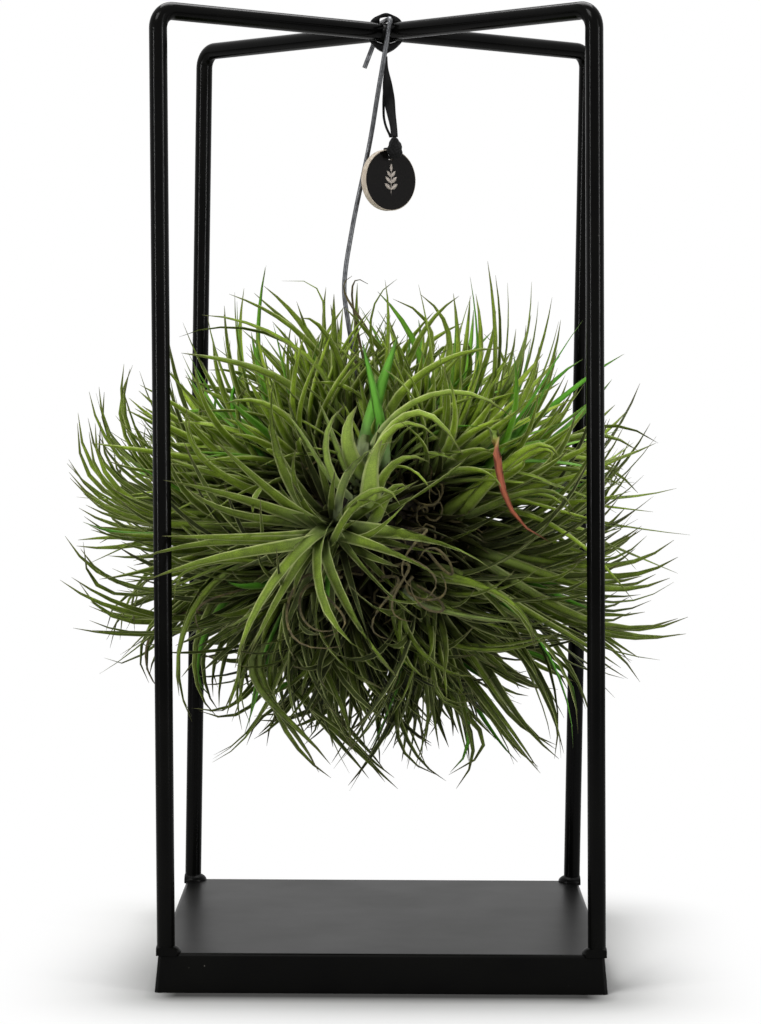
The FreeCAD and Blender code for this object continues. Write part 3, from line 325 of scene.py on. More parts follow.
def leaf_tissue():
    """Green by tone, silver at the foot, pale at the margins, dry at the tip, with painted shade at the foot
    and in the clump's middle.
    """
    material, tree, shader = new_material("air_plant_leaf")
    where = add(tree, "ShaderNodeTexCoord").outputs
    place = where["Object"]
    across, along = add(tree, "ShaderNodeSeparateXYZ", Vector=where["UV"]).outputs[:2]
    tone, silver, fresh, blush = (
        add(tree, "ShaderNodeAttribute", {"attribute_name": name}).outputs["Fac"] for name in LEAF_NUMBERS
    )
    mottle = add(tree, "ShaderNodeTexNoise", Vector=place, Scale=per_metre(MOTTLE_MM), Detail=3.0)
    scales = add(tree, "ShaderNodeTexNoise", Vector=place, Scale=per_metre(SCALE_MM), Detail=2.0)
    spread = {"operation": "MULTIPLY_ADD"}
    shift = add(tree, "ShaderNodeMath", spread, _0=mottle, _1=MOTTLE_SPAN, _2=-MOTTLE_SPAN / 2)
    speckle = add(tree, "ShaderNodeMath", spread, _0=scales, _1=SCALE_SPAN, _2=-SCALE_SPAN / 2)
    uneven = add(tree, "ShaderNodeMath", {"operation": "ADD"}, _0=shift, _1=speckle)
    mixed = add(tree, "ShaderNodeMath", {"operation": "ADD"}, _0=tone, _1=uneven)
    green = add(tree, "ShaderNodeValToRGB", stops=GREENS, Fac=mixed)
    from_rib = add(tree, "ShaderNodeMath", {"operation": "SUBTRACT"}, _0=across, _1=0.5)
    aside = add(tree, "ShaderNodeMath", {"operation": "ABSOLUTE"}, _0=from_rib)
    rim = add(tree, "ShaderNodeMapRange", Value=aside, _1=0.33, _2=0.5, _3=0.0, _4=0.85)
    foot = add(tree, "ShaderNodeMapRange", Value=along, _1=0.02, _2=0.5, _3=1.0, _4=0.1)
    scaly = add(tree, "ShaderNodeMath", {"operation": "MULTIPLY"}, _0=foot, _1=silver)
    # Painted shade: leaves darken towards their foot and in the clump's middle, where little light reaches;
    # silvery leaves less so.
    shaded_foot = add(tree, "ShaderNodeMapRange", Value=along, _1=0.05, _2=0.34, _3=0.8, _4=0.0)
    middle = (PLANT_MIDDLE * MM).tolist()
    reach = add(tree, "ShaderNodeVectorMath", {"operation": "DISTANCE"}, _0=place, _1=middle)
    light = {"_1": SHADED_MM * MM, "_2": SUNLIT_MM * MM, "_3": 1.0, "_4": 0.0}
    deep = add(tree, "ShaderNodeMapRange", {"interpolation_type": "SMOOTHSTEP"}, Value=reach, **light)
    leaf_shade = add(tree, "ShaderNodeMath", {"operation": "MAXIMUM"}, _0=shaded_foot, _1=deep)
    dull = add(tree, "ShaderNodeMath", {"operation": "SUBTRACT", "use_clamp": True}, _0=1.05, _1=silver)
    painted_leaf_shade = add(tree, "ShaderNodeMath", {"operation": "MULTIPLY"}, _0=leaf_shade, _1=dull)
    outer_half = add(tree, "ShaderNodeMapRange", Value=along, _1=0.42, _2=0.52, _3=0.0, _4=1.0)
    pink = add(tree, "ShaderNodeMath", {"operation": "MULTIPLY"}, _0=blush, _1=outer_half)
    dry = add(tree, "ShaderNodeMapRange", Value=along, _1=0.86, _2=1.0, _3=0.0, _4=0.8)
    colour = green
    for share, code in (
        (rim, "#c6d088"),
        (fresh, "#4f9c1e"),
        (scaly, "#9aa581"),
        (painted_leaf_shade, "#1d1b0a"),
        (pink, "#8e4238"),
        (dry, "#4e4634"),
    ):
        colour = add(tree, "ShaderNodeMix", {"data_type": "RGBA"}, _0=share, _6=colour, _7=linear(code))
    stretched = add(tree, "ShaderNodeMapping", Vector=where["UV"], Scale=ALONG_LEAF)
    wave = add(tree, "ShaderNodeTexWave", {"bands_direction": "X"}, Vector=stretched, Scale=1.0)
    veins = wave.outputs["Fac"]
    fine = add(tree, "ShaderNodeBump", Height=scales, Distance=SCALE_DEPTH_MM * MM, Strength=0.8)
    ridges = {"Height": veins, "Distance": VEIN_DEPTH_MM * MM, "Strength": 0.6, "Normal": fine}
    relief = add(tree, "ShaderNodeBump", **ridges)
    connect(tree, shader, Base_Color=colour, Roughness=0.5, Normal=relief, Specular_IOR_Level=0.12)
    return material


tissue = leaf_tissue()
print("made", tissue.name)

# %% [markdown]
# Leaves are thin strips, folded a little along the middle like a sheet of paper. The section has
# four corners: the left margin, the fold's upper side, the right margin and the fold's lower
# side. Carried along a curved line it makes a closed blade of a few dozen faces.

# %% Meshes from arrays of rings
def rings_to_faces(count, rings, sides):
    """Quads between neighbouring rings of each of count tubes, and a cap at both ends."""
    tube = np.arange(count)[:, None, None] * rings * sides
    ring = np.arange(rings - 1)[None, :, None] * sides
    side = np.arange(sides)[None, None, :]
    after = (side + 1) % sides
    low = tube + ring
    quads = np.stack([low + side, low + after, low + sides + after, low + sides + side], -1)
    quads = quads.reshape(-1, 4)
    start = (np.arange(count)[:, None] * rings * sides) + np.arange(sides)[::-1][None, :]
    finish = (np.arange(count)[:, None] * rings + rings - 1) * sides + np.arange(sides)[None, :]
    return quads, np.concatenate([start, finish])


def piece_from_faces(name, points, face_groups, uv=None, numbers=None):
    """A mesh object in metres from millimetre points; numbers are one value for each point."""
    mesh = bpy.data.meshes.new(name)
    corners = np.concatenate([group.reshape(-1) for group in face_groups])
    totals = np.concatenate([np.full(len(group), group.shape[1]) for group in face_groups])
    starts = np.concatenate([[0], np.cumsum(totals)[:-1]])
    mesh.vertices.add(len(points))
    mesh.vertices.foreach_set("co", (points * MM).astype(np.float32).ravel())
    mesh.loops.add(len(corners))
    mesh.loops.foreach_set("vertex_index", corners.astype(np.int32))
    mesh.polygons.add(len(totals))
    mesh.polygons.foreach_set("loop_start", starts.astype(np.int32))
    mesh.polygons.foreach_set("loop_total", totals.astype(np.int32))
    mesh.polygons.foreach_set("use_smooth", np.ones(len(totals), bool))
    mesh.update(calc_edges=True)
    if uv is not None:
        mesh.uv_layers.new(name="UVMap").data.foreach_set("uv", uv[corners].astype(np.float32).ravel())
    for label, values in (numbers or {}).items():
        mesh.attributes.new(label, "FLOAT", "POINT").data.foreach_set("value", values.astype(np.float32))
    piece = bpy.data.objects.new(name, mesh)
    bpy.context.scene.collection.objects.link(piece)
    return piece


def dress(piece, material, slot, body, *replaced):
    """Gives a piece its finish, and the body and nodes that it stands for; slot is not used."""
    piece.data.materials.clear()
    piece.data.materials.append(material)
    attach(piece, body)
    if replaced:
        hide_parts(*replaced)
    return piece


print("a leaf of 12 rings and 4 sides has", len(rings_to_faces(1, 12, 4)[0]) + 2, "faces")

# %% [markdown]
# The plant hangs at the end of the wire, in front of and between four posts. When the hook
# swings or the plant turns, the leaves must still pass the posts. So the posts are first put
# where the plant would see them, at each end of its travel.

# %% Where the leaves may not go
WIRE_END = np.array([-8.2, 0.0, 222.35])
HOOK_LEVEL = 436.35
POST_RADIUS = 4.0
POST_ROOM = 1.4
POST_HALF_SPACING = 95.0
ARM_LEVEL = 431.0
TRAY_TOP = 17.3
TWIST = math.radians(2.757)
SWINGS = np.radians([-2.5, 0.0, 5.0])
TURNS = np.radians([-4.0, 0.0, 4.0])


def about_y(points, angle, pivot):
    """Points turned about the y direction through pivot."""
    x, z = points[..., 0] - pivot[0], points[..., 2] - pivot[2]
    out = points.copy()
    out[..., 0] = pivot[0] + x * np.cos(angle) + z * np.sin(angle)
    out[..., 2] = pivot[2] - x * np.sin(angle) + z * np.cos(angle)
    return out


def about_z(points, angle, pivot):
    """Points turned about the z direction through pivot."""
    x, y = points[..., 0] - pivot[0], points[..., 1] - pivot[1]
    out = points.copy()
    out[..., 0] = pivot[0] + x * np.cos(angle) - y * np.sin(angle)
    out[..., 1] = pivot[1] + x * np.sin(angle) + y * np.cos(angle)
    return out


foot_corners = POST_HALF_SPACING * np.array([[-1, -1], [1, -1], [1, 1], [-1, 1]])
feet = np.column_stack([foot_corners, np.full(4, TRAY_TOP)])
heads = about_z(feet, -TWIST, np.zeros(3))
heads[:, 2] = ARM_LEVEL
post_ends = []
for swing in SWINGS:
    for spin in TURNS:
        ends = about_y(np.stack([feet, heads]), -swing, np.array([0.0, 0.0, HOOK_LEVEL]))
        post_ends.append(about_z(ends, -spin, WIRE_END))
post_lows = np.concatenate([ends[0] for ends in post_ends])
post_highs = np.concatenate([ends[1] for ends in post_ends])
print(len(post_lows), "places of a post, as the plant sees them")

# %% [markdown]
# A rosette is one plant. Its leaves leave a short stem one golden angle apart: the inmost stand
# up and are short, the outer ones are long and arch away. Most of the clump can grow by that
# rule alone, from a table that says where each plant sits on the clump and how it leans.

# %% The rosettes' table
# name, place on the clump (azimuth, elevation), lean (azimuth, elevation), leaves, length share,
# opening of inner and outer leaves in degrees, upward turn, tone, silver
# The tone column is lower for the plants low on the clump: partly their own older colour, partly painted
# shade under the clump.
ROSETTES = [
    ("front", -112, -2, -108, -4, 17, 0.86, 16, 104, 0.05, 0.38, 0.55),
    ("front_upright", -86, 36, -84, 68, 18, 0.72, 6, 84, 0.05, 0.70, 1.00),
    ("upper_left", -150, 38, -158, 44, 36, 0.98, 10, 88, 0.10, 0.72, 0.45),
    ("top_left", -168, 64, -150, 76, 32, 0.84, 8, 66, 0.10, 0.62, 0.35),
    ("top_right", -30, 62, -32, 70, 32, 0.88, 8, 74, 0.10, 0.68, 0.40),
    ("upper_right", -38, 34, -30, 42, 36, 1.08, 10, 80, 0.22, 0.76, 0.55),
    ("right", -8, 14, -12, 26, 36, 1.26, 10, 72, 0.25, 0.62, 0.45),
    ("right_fan", -12, -20, -10, -14, 40, 1.32, 8, 62, 0.42, 0.32, 0.30),
    ("lower_right", -48, -40, -38, -44, 44, 1.16, 12, 82, 0.05, 0.30, 0.30),
    ("bottom_left", -122, -64, -118, -70, 36, 1.02, 10, 76, 0.00, 0.20, 0.30),
    ("bottom_right", 20, -70, -12, -68, 36, 1.08, 10, 74, 0.05, 0.22, 0.25),
    ("lower_left", -146, -32, -150, -34, 44, 1.08, 12, 84, 0.12, 0.28, 0.35),
    ("left_fan", 178, -8, -178, -2, 50, 1.20, 8, 66, 0.45, 0.46, 0.35),
    ("left", 176, 26, 176, 24, 40, 1.22, 10, 66, 0.34, 0.68, 0.40),
    ("rear", 92, 4, 90, 4, 36, 0.93, 12, 74, 0.20, 0.52, 0.40),
    ("rear_left", 136, -18, 132, -14, 32, 0.86, 12, 84, 0.15, 0.46, 0.35),
    ("rear_right", 44, 10, 46, 12, 32, 0.86, 12, 84, 0.15, 0.54, 0.35),
    ("rear_upper", 104, 44, 100, 48, 32, 1.00, 12, 84, 0.15, 0.58, 0.35),
    ("rear_lower", 84, -46, 86, -48, 34, 1.02, 12, 82, 0.15, 0.36, 0.30),
]
CORE_HALF = np.array([34.0, 34.0, 32.0])
SEAT_SHARE = 1.12
LONG_LEAF = 92.0
LEAF_WIDTH = 4.9
LEAF_DEPTH = 1.2
RINGS = 12
TRIES = 14
MORE_LEAVES = 1.6
GOLDEN = math.radians(137.508)


def way(azimuth, elevation):
    """A unit vector from two angles in degrees."""
    a, e = np.radians(azimuth), np.radians(elevation)
    return np.stack([np.cos(a) * np.cos(e), np.sin(a) * np.cos(e), np.sin(e)], -1)


def unit(vectors):
    """Vectors divided by their length."""
    return vectors / np.maximum(np.linalg.norm(vectors, axis=-1, keepdims=True), 1e-9)


def frame_about(axis):
    """Two unit vectors square to an axis and to each other."""
    helper = np.array([0.0, 0.0, 1.0]) if abs(axis[2]) < 0.9 else np.array([1.0, 0.0, 0.0])
    first = unit(np.cross(axis, helper))
    return first, np.cross(axis, first)


print(sum(row[5] for row in ROSETTES), "leaves asked for")

# %% [markdown]
# A leaf's line starts at the stem and is summed up from short steps. Each step's direction opens
# away from the plant's axis, more and more towards the tip, drifts sideways a little, and is
# pulled up towards the light or down by the leaf's weight.

# %% Lines of leaves
STEPS = RINGS - 1
INNER_LENGTH = 0.62
OUTER_GAIN = 0.42
LENGTH_SPREAD = 0.22
TRY_TURN = 0.5
TRY_SHORTER = 0.045
OPENING_SPREAD = 0.22
OPEN_AT_FOOT = 0.35
OPEN_GAIN = 0.85
SIDE_DRIFT = 1.1
BEND_SPREAD = 0.5
BEND_GAIN = 1.9
ARCH_SPREAD = 1.1
STEM_RADIUS = 2.6
STEM_ABOVE = 6.0
STEM_LENGTH = 13.0


def strays(chance, width, shape):
    """Random numbers up to half of width to both sides of zero."""
    return width * (chance.random(shape) - 0.5)


def leaf_lines(seat, axis, count, length_share, inner, outer, lift, chance):
    """Ring points for count leaves at TRIES chances each, as (tries, leaves, rings, 3).

    A step heads along cos(opening) * axis + sin(opening) * sideways, and the steps are summed."""
    first, second = frame_about(axis)
    outness = (np.arange(count) + 0.5) / count
    turned = strays(chance, TRY_TURN, (TRIES, count)) * np.arange(TRIES)[:, None]
    share_of_long = INNER_LENGTH + OUTER_GAIN * outness + strays(chance, LENGTH_SPREAD, count)
    length = LONG_LEAF * length_share * share_of_long
    length = length[None, :] * (1 - TRY_SHORTER * np.arange(TRIES)[:, None])
    spin = GOLDEN * np.arange(count)[None, :] + turned
    opening = np.radians(inner + (outer - inner) * outness**0.8) + strays(chance, OPENING_SPREAD, count)
    drift = strays(chance, SIDE_DRIFT, count)
    share = (np.arange(STEPS) + 0.5) / STEPS
    open_at = opening[None, :, None] * (OPEN_AT_FOOT + OPEN_GAIN * share**0.9)
    spin_at = spin[..., None] + drift[None, :, None] * share**2
    sideways = np.cos(spin_at)[..., None] * first + np.sin(spin_at)[..., None] * second
    heading = np.cos(open_at)[..., None] * axis + np.sin(open_at)[..., None] * sideways
    bend = lift + strays(chance, BEND_SPREAD, count)
    heading[..., 2] += BEND_GAIN * bend[:, None] * share**2
    arch = strays(chance, ARCH_SPREAD, count)
    heading = heading + np.cross(axis, sideways) * (arch[:, None] * share**1.5)[..., None]
    steps = unit(heading) * (length / STEPS)[..., None, None]
    out = np.cos(spin)[..., None] * first + np.sin(spin)[..., None] * second
    root = seat + out * STEM_RADIUS + axis * (STEM_ABOVE - STEM_LENGTH * outness)[None, :, None]
    line = np.concatenate([np.zeros_like(root)[..., None, :], np.cumsum(steps, axis=2)], axis=2)
    return root[..., None, :] + line, out, outness


def gap_to_lines(points, lows, highs):
    """The least distance from each point to any of the straight lines."""
    along = highs - lows
    near = points[..., None, :] - lows
    share = np.clip((near * along).sum(-1) / (along**2).sum(-1), 0, 1)
    return np.linalg.norm(near - share[..., None] * along, axis=-1).min(-1)


WIRE_LINE = np.array(
    [(-8.2, 0, 222), (-8.2, 0, 250), (-16, 1, 291), (-19, 2, 310), (-18, 4, 322), (-14, 5, 347)]
)
WIRE_ROOM = 4.0
CORE_ROOM = 1.0
# The first rings of a leaf lie in the clump's middle, where the wire and the core are hidden.
HIDDEN_RINGS = 3
LIMIT_LOW = np.array([-153.5, -123.5, 74.0])
LIMIT_HIGH = np.array([148.5, 126.0, 325.0])


def clear_of_things(lines):
    """True for each line that keeps away from posts, wire and the bounds of the clump."""
    posts = gap_to_lines(lines, post_lows, post_highs).min(-1) > POST_RADIUS + POST_ROOM + LEAF_WIDTH / 2
    shown = lines[..., HIDDEN_RINGS:, :]
    wire = gap_to_lines(shown, WIRE_LINE[:-1], WIRE_LINE[1:]).min(-1) > WIRE_ROOM
    inside = np.all((lines > LIMIT_LOW) & (lines < LIMIT_HIGH), axis=(-1, -2))
    off = (shown - PLANT_MIDDLE) / (CORE_HALF + CORE_ROOM)
    outside_core = ((off**2).sum(-1) > 1).all(-1)
    return posts & wire & inside & outside_core


print("lines ready")

# %% [markdown]
# With a line for every leaf, the blade is a product of two things: how wide it is along the
# line, and the four corners of its section. The blade is folded, so both margins lie lower than
# its middle, which is a ridge above and a hollow below.

# %% Blades along the lines
WIDTH_AT = ([0.0, 0.10, 0.30, 0.55, 0.78, 0.92, 1.0], [1.45, 1.30, 1.0, 0.78, 0.50, 0.22, 0.03])
FOLD_AT = ([0.0, 0.3, 1.0], [0.50, 0.34, 0.22])
DEPTH_AT = ([0.0, 0.6, 1.0], [1.0, 0.7, 0.06])
RIDGE = 1.6
HOLLOW = 0.4


def blades(lines, out, width):
    """Rings of four corners along each line, as (leaves, rings, 4, 3): line, width and fold added."""
    share = np.linspace(0, 1, lines.shape[-2])
    ahead = unit(np.gradient(lines, axis=-2))
    across = unit(np.cross(ahead, out[:, None, :]))
    up = np.cross(across, ahead)
    half = 0.5 * width[:, None] * np.interp(share, *WIDTH_AT)
    fold = half * np.interp(share, *FOLD_AT)
    thick = LEAF_DEPTH * 0.5 * np.interp(share, *DEPTH_AT)
    margin = across * half[..., None]
    drop = up * fold[..., None]
    crease = up * (thick * np.ones_like(half))[..., None]
    corners = [lines - margin - drop, lines + crease * RIDGE, lines + margin - drop, lines + crease * HOLLOW]
    return np.stack(corners, -2)


print("blades of", RINGS, "rings")

# %% [markdown]
# The leaves that make the clump's outline, and the pale ones in front, are placed one by one. A
# row gives three places along a leaf as pixels of the photograph, each with its depth in
# millimetres from the middle of the stand, then the leaf's width and tone. A pixel and a depth
# fix one point of space, and a cubic through four points, the first in the plant's stem, gives
# the leaf its line.

# %% Leaves placed one by one
# x and y of three pixels, three depths, width in mm, tone
# Tones are lower for the leaves low on the clump: partly their own older colour, partly painted shade.
PLACED = {
    "left_fan": [
        (160, 478, 127, 425, 124, 364, -20, -30, -36, 6.5, 0.55),
        (165, 485, 118, 445, 99, 387, 10, 0, -10, 6.5, 0.60),
        (175, 515, 115, 490, 78, 413, -30, -40, -45, 6.5, 0.60),
        (185, 510, 120, 480, 88, 418, 25, 30, 28, 6.0, 0.45),
        (190, 520, 125, 506, 67, 463, 0, -5, -10, 6.5, 0.55),
        (195, 525, 128, 516, 70, 478, -35, -48, -58, 6.0, 0.50),
        (200, 530, 130, 528, 79, 508, 20, 30, 38, 6.0, 0.40),
        (185, 500, 130, 487, 113, 446, 30, 42, 50, 5.5, 0.45),
        (170, 470, 148, 445, 134, 423, -30, -42, -50, 5.5, 0.50),
        (200, 532, 130, 534, 83, 522, -10, -20, -28, 5.5, 0.38),
        (200, 538, 130, 537, 78, 540, 30, 38, 45, 6.5, 0.62),
        (200, 560, 145, 582, 120, 640, 10, 14, 16, 5.0, 0.35),
    ],
    "lower_left": [
        (190, 590, 110, 578, 65, 536, -25, -30, -35, 6.0, 0.45),
        (190, 615, 115, 608, 60, 580, -5, -15, -20, 6.0, 0.45),
        (190, 612, 130, 618, 89, 606, 30, 38, 45, 5.5, 0.38),
        (190, 628, 130, 634, 73, 628, -30, -38, -45, 6.0, 0.42),
        (185, 590, 130, 606, 110, 648, 28, 34, 38, 5.0, 0.35),
        (190, 600, 146, 655, 157, 688, 5, 5, 10, 5.0, 0.36),
        (200, 590, 178, 660, 192, 722, -40, -48, -50, 5.5, 0.40),
        (215, 600, 196, 680, 218, 718, -20, -25, -20, 5.0, 0.36),
        (240, 620, 222, 670, 219, 709, 10, 12, 14, 5.0, 0.32),
        (255, 620, 238, 680, 242, 730, -30, -36, -38, 5.0, 0.34),
        (240, 560, 180, 575, 160, 600, -60, -76, -80, 6.0, 0.45),
    ],
    "bottom_left": [
        (292, 665, 255, 723, 213, 759, -30, -36, -40, 5.5, 0.28),
        (300, 690, 278, 721, 254, 739, 0, 5, 10, 5.0, 0.24),
        (270, 690, 290, 738, 331, 778, -45, -52, -56, 6.0, 0.34),
        (300, 690, 340, 735, 385, 782, -20, -25, -30, 5.5, 0.30),
        (320, 690, 352, 742, 398, 789, 10, 8, 5, 5.5, 0.26),
        (330, 680, 345, 715, 352, 752, -50, -58, -60, 5.0, 0.32),
        (300, 650, 282, 700, 262, 716, 20, 26, 30, 5.0, 0.26),
        (275, 660, 232, 705, 192, 708, 15, 20, 26, 5.0, 0.34),
        (310, 680, 318, 720, 306, 742, -10, -14, -16, 4.5, 0.24),
        (345, 660, 372, 700, 380, 745, -30, -30, -28, 5.0, 0.30),
    ],
    "bottom_right": [
        (395, 700, 408, 742, 446, 781, -20, -26, -30, 5.5, 0.26),
        (450, 695, 473, 745, 456, 789, -30, -36, -40, 5.5, 0.30),
        (415, 690, 413, 735, 407, 769, 10, 12, 14, 5.0, 0.24),
        (425, 680, 428, 715, 425, 746, -40, -44, -46, 4.5, 0.28),
        (440, 675, 470, 712, 497, 740, -10, -16, -20, 5.5, 0.32),
        (455, 670, 495, 722, 521, 758, 15, 20, 24, 5.5, 0.30),
        (460, 665, 510, 728, 538, 769, -30, -42, -50, 6.0, 0.36),
        (400, 680, 390, 720, 372, 752, 25, 30, 34, 5.0, 0.22),
        (420, 665, 437, 705, 440, 730, 0, 0, 0, 4.5, 0.25),
    ],
    "lower_right": [
        (470, 640, 525, 725, 559, 759, -30, -36, -40, 5.5, 0.36),
        (490, 620, 545, 690, 561, 758, -50, -60, -66, 6.0, 0.44),
        (500, 600, 556, 670, 573, 748, -40, -52, -58, 7.0, 0.56),
        (470, 580, 513, 606, 536, 652, -64, -76, -82, 7.0, 0.72),
        (430, 607, 470, 616, 527, 624, -66, -76, -84, 4.5, 0.70),
        (450, 640, 505, 644, 565, 631, -50, -60, -66, 5.0, 0.56),
        (415, 645, 446, 671, 476, 676, -62, -72, -80, 5.0, 0.60),
        (400, 640, 412, 668, 435, 681, -60, -70, -76, 5.0, 0.62),
        (450, 620, 500, 670, 545, 690, -20, -20, -18, 6.0, 0.38),
        (480, 640, 540, 655, 578, 712, -10, -10, -10, 6.0, 0.40),
        (430, 640, 450, 690, 475, 693, -55, -64, -72, 4.5, 0.44),
    ],
    "right_fan": [
        (520, 556, 600, 566, 674, 540, -30, -36, -40, 7.0, 0.62),
        (520, 560, 600, 576, 678, 557, 0, 4, 8, 7.0, 0.62),
        (520, 566, 600, 588, 670, 578, -40, -52, -60, 7.0, 0.60),
        (520, 575, 604, 602, 674, 582, -15, -20, -24, 7.0, 0.62),
        (515, 580, 590, 612, 645, 612, 20, 28, 34, 6.5, 0.54),
        (520, 590, 615, 628, 688, 617, -38, -50, -58, 7.0, 0.64),
        (520, 598, 615, 636, 680, 634, 5, 8, 12, 7.0, 0.56),
        (520, 605, 605, 648, 660, 660, -20, -26, -30, 7.0, 0.58),
        (520, 600, 600, 640, 640, 682, 30, 38, 44, 5.5, 0.44),
        (515, 605, 590, 648, 621, 668, -45, -58, -66, 6.5, 0.54),
        (510, 570, 560, 596, 615, 640, 20, 20, 20, 6.0, 0.50),
    ],
    "right": [
        (520, 470, 590, 428, 658, 443, -10, -16, -20, 6.5, 0.50),
        (540, 455, 600, 464, 638, 493, 15, 22, 28, 6.0, 0.50),
        (540, 470, 595, 474, 626, 489, -30, -40, -46, 5.5, 0.48),
        (500, 470, 546, 445, 562, 461, -50, -60, -66, 7.5, 0.74),
        (540, 520, 603, 532, 638, 519, -20, -26, -30, 5.5, 0.44),
        (540, 530, 595, 505, 621, 467, 10, 14, 18, 6.0, 0.60),
        (520, 500, 570, 500, 603, 530, 30, 34, 38, 5.5, 0.46),
        (500, 500, 545, 495, 575, 520, -40, -50, -54, 5.5, 0.52),
        (500, 480, 545, 472, 585, 500, 0, 0, 0, 5.5, 0.50),
    ],
    "upper_right": [
        (510, 440, 570, 392, 624, 354, -20, -28, -34, 6.5, 0.56),
        (500, 440, 545, 378, 583, 320, -36, -48, -54, 6.5, 0.58),
        (505, 440, 550, 385, 583, 359, 5, 10, 14, 6.0, 0.52),
        (480, 430, 515, 370, 531, 315, -24, -30, -34, 6.0, 0.60),
        (480, 430, 508, 370, 516, 329, 10, 16, 20, 5.5, 0.50),
        (500, 430, 530, 385, 539, 346, -50, -60, -66, 6.0, 0.56),
        (460, 420, 486, 360, 496, 311, -10, -14, -16, 6.0, 0.62),
        (480, 420, 506, 372, 484, 334, 20, 26, 30, 5.5, 0.52),
        (450, 420, 470, 370, 464, 334, 0, 0, 0, 6.0, 0.56),
        (465, 420, 475, 370, 476, 339, -35, -40, -44, 5.0, 0.60),
        (497, 448, 506, 499, 550, 542, -72, -90, -97, 6.4, 0.60),
    ],
    "top_right": [
        (400, 390, 424, 330, 459, 296, -24, -32, -40, 6.0, 0.54),
        (440, 390, 450, 345, 420, 294, 0, 4, 8, 6.0, 0.54),
        (420, 390, 432, 340, 393, 299, 16, 22, 28, 5.5, 0.50),
        (372, 350, 374, 305, 397, 279, -30, -34, -40, 5.0, 0.50),
        (385, 380, 388, 320, 385, 280, -44, -50, -56, 5.5, 0.60),
        (400, 395, 450, 358, 501, 349, -54, -70, -80, 6.5, 0.62),
        (425, 380, 440, 350, 470, 345, 20, 26, 30, 5.0, 0.50),
    ],
    "top_left": [
        (322, 340, 318, 290, 282, 281, -10, -12, -14, 6.0, 0.56),
        (315, 345, 295, 316, 264, 286, 10, 14, 18, 6.0, 0.50),
        (310, 345, 280, 316, 254, 293, 30, 36, 42, 5.5, 0.46),
        (310, 345, 270, 313, 229, 294, -20, -28, -36, 6.5, 0.52),
        (335, 345, 334, 315, 334, 294, -34, -38, -40, 8.0, 0.50),
        (325, 340, 324, 310, 326, 287, 20, 24, 28, 5.0, 0.46),
        (330, 340, 312, 320, 300, 318, -40, -50, -58, 5.5, 0.54),
    ],
    "upper_left": [
        (325, 375, 260, 327, 202, 315, -40, -50, -56, 6.5, 0.60),
        (300, 350, 235, 327, 179, 337, -10, -20, -30, 5.0, 0.42),
        (290, 385, 230, 361, 181, 353, -40, -54, -64, 6.0, 0.54),
        (285, 400, 240, 373, 208, 370, 20, 26, 30, 5.5, 0.46),
        (280, 400, 225, 390, 185, 377, 0, 0, 0, 5.5, 0.50),
        (290, 420, 250, 400, 222, 405, -50, -64, -72, 5.5, 0.58),
        (300, 430, 262, 405, 230, 340, 10, 12, 14, 5.5, 0.48),
    ],
    "left": [
        (240, 470, 196, 430, 175, 402, -20, -28, -34, 6.5, 0.56),
        (235, 470, 205, 425, 207, 374, 10, 12, 14, 6.0, 0.50),
        (230, 480, 190, 440, 187, 405, -45, -54, -58, 6.0, 0.56),
        (240, 460, 215, 420, 222, 385, 30, 36, 40, 5.5, 0.48),
        (225, 490, 178, 470, 150, 430, 20, 28, 34, 6.0, 0.52),
        (240, 480, 200, 470, 160, 455, -40, -52, -60, 6.0, 0.54),
        (250, 440, 232, 400, 245, 370, -20, -20, -20, 5.5, 0.50),
    ],
    "front_upright": [
        (362, 440, 372, 400, 372, 352, -56, -50, -46, 9.0, 0.58),
        (388, 425, 425, 398, 511, 416, -66, -80, -96, 7.0, 0.80),
        (385, 440, 412, 414, 463, 455, -72, -90, -104, 8.5, 0.84),
        (370, 470, 395, 428, 440, 440, -70, -84, -96, 7.5, 0.80),
        (345, 470, 330, 430, 318, 400, -62, -66, -68, 7.5, 0.70),
        (352, 462, 347, 430, 357, 406, -70, -78, -82, 15.0, 0.86),
        (370, 486, 375, 455, 382, 440, -82, -92, -98, 15.0, 0.86),
        (340, 490, 325, 450, 345, 405, -66, -74, -76, 8.0, 0.74),
        (380, 485, 400, 460, 430, 462, -72, -84, -92, 8.0, 0.74),
        (385, 500, 400, 485, 410, 490, -74, -84, -90, 9.0, 0.70),
        (330, 480, 305, 440, 280, 408, -60, -66, -70, 7.0, 0.68),
        (360, 500, 385, 490, 400, 505, -78, -88, -94, 8.0, 0.70),
        (372, 420, 385, 376, 398, 335, -58, -58, -56, 11.0, 0.72),
        (380, 425, 372, 385, 362, 340, -62, -62, -60, 8.0, 0.60),
    ],
    "front": [
        (305, 505, 294, 480, 297, 445, -76, -84, -90, 6.5, 0.78),
        (300, 500, 274, 440, 276, 374, -70, -80, -84, 7.5, 0.74),
        (290, 505, 254, 476, 215, 440, -80, -94, -106, 8.5, 0.84),
        (285, 512, 228, 494, 163, 480, -80, -102, -114, 8.5, 0.80),
        (282, 520, 225, 510, 186, 488, -76, -96, -108, 7.5, 0.72),
        (282, 536, 225, 537, 162, 536, -86, -105, -114, 7.0, 0.90),
        (285, 540, 225, 541, 133, 561, -84, -104, -115, 7.0, 0.82),
        (290, 545, 235, 554, 147, 580, -88, -107, -117, 8.0, 0.88),
        (300, 550, 268, 590, 235, 668, -86, -100, -108, 8.0, 0.88),
        (305, 555, 283, 590, 249, 655, -78, -86, -90, 7.0, 0.76),
        (318, 560, 325, 605, 370, 655, -84, -96, -102, 8.5, 0.84),
        (328, 560, 345, 600, 399, 680, -78, -90, -96, 8.0, 0.74),
        (362, 541, 400, 555, 446, 582, -84, -100, -112, 7.5, 0.84),
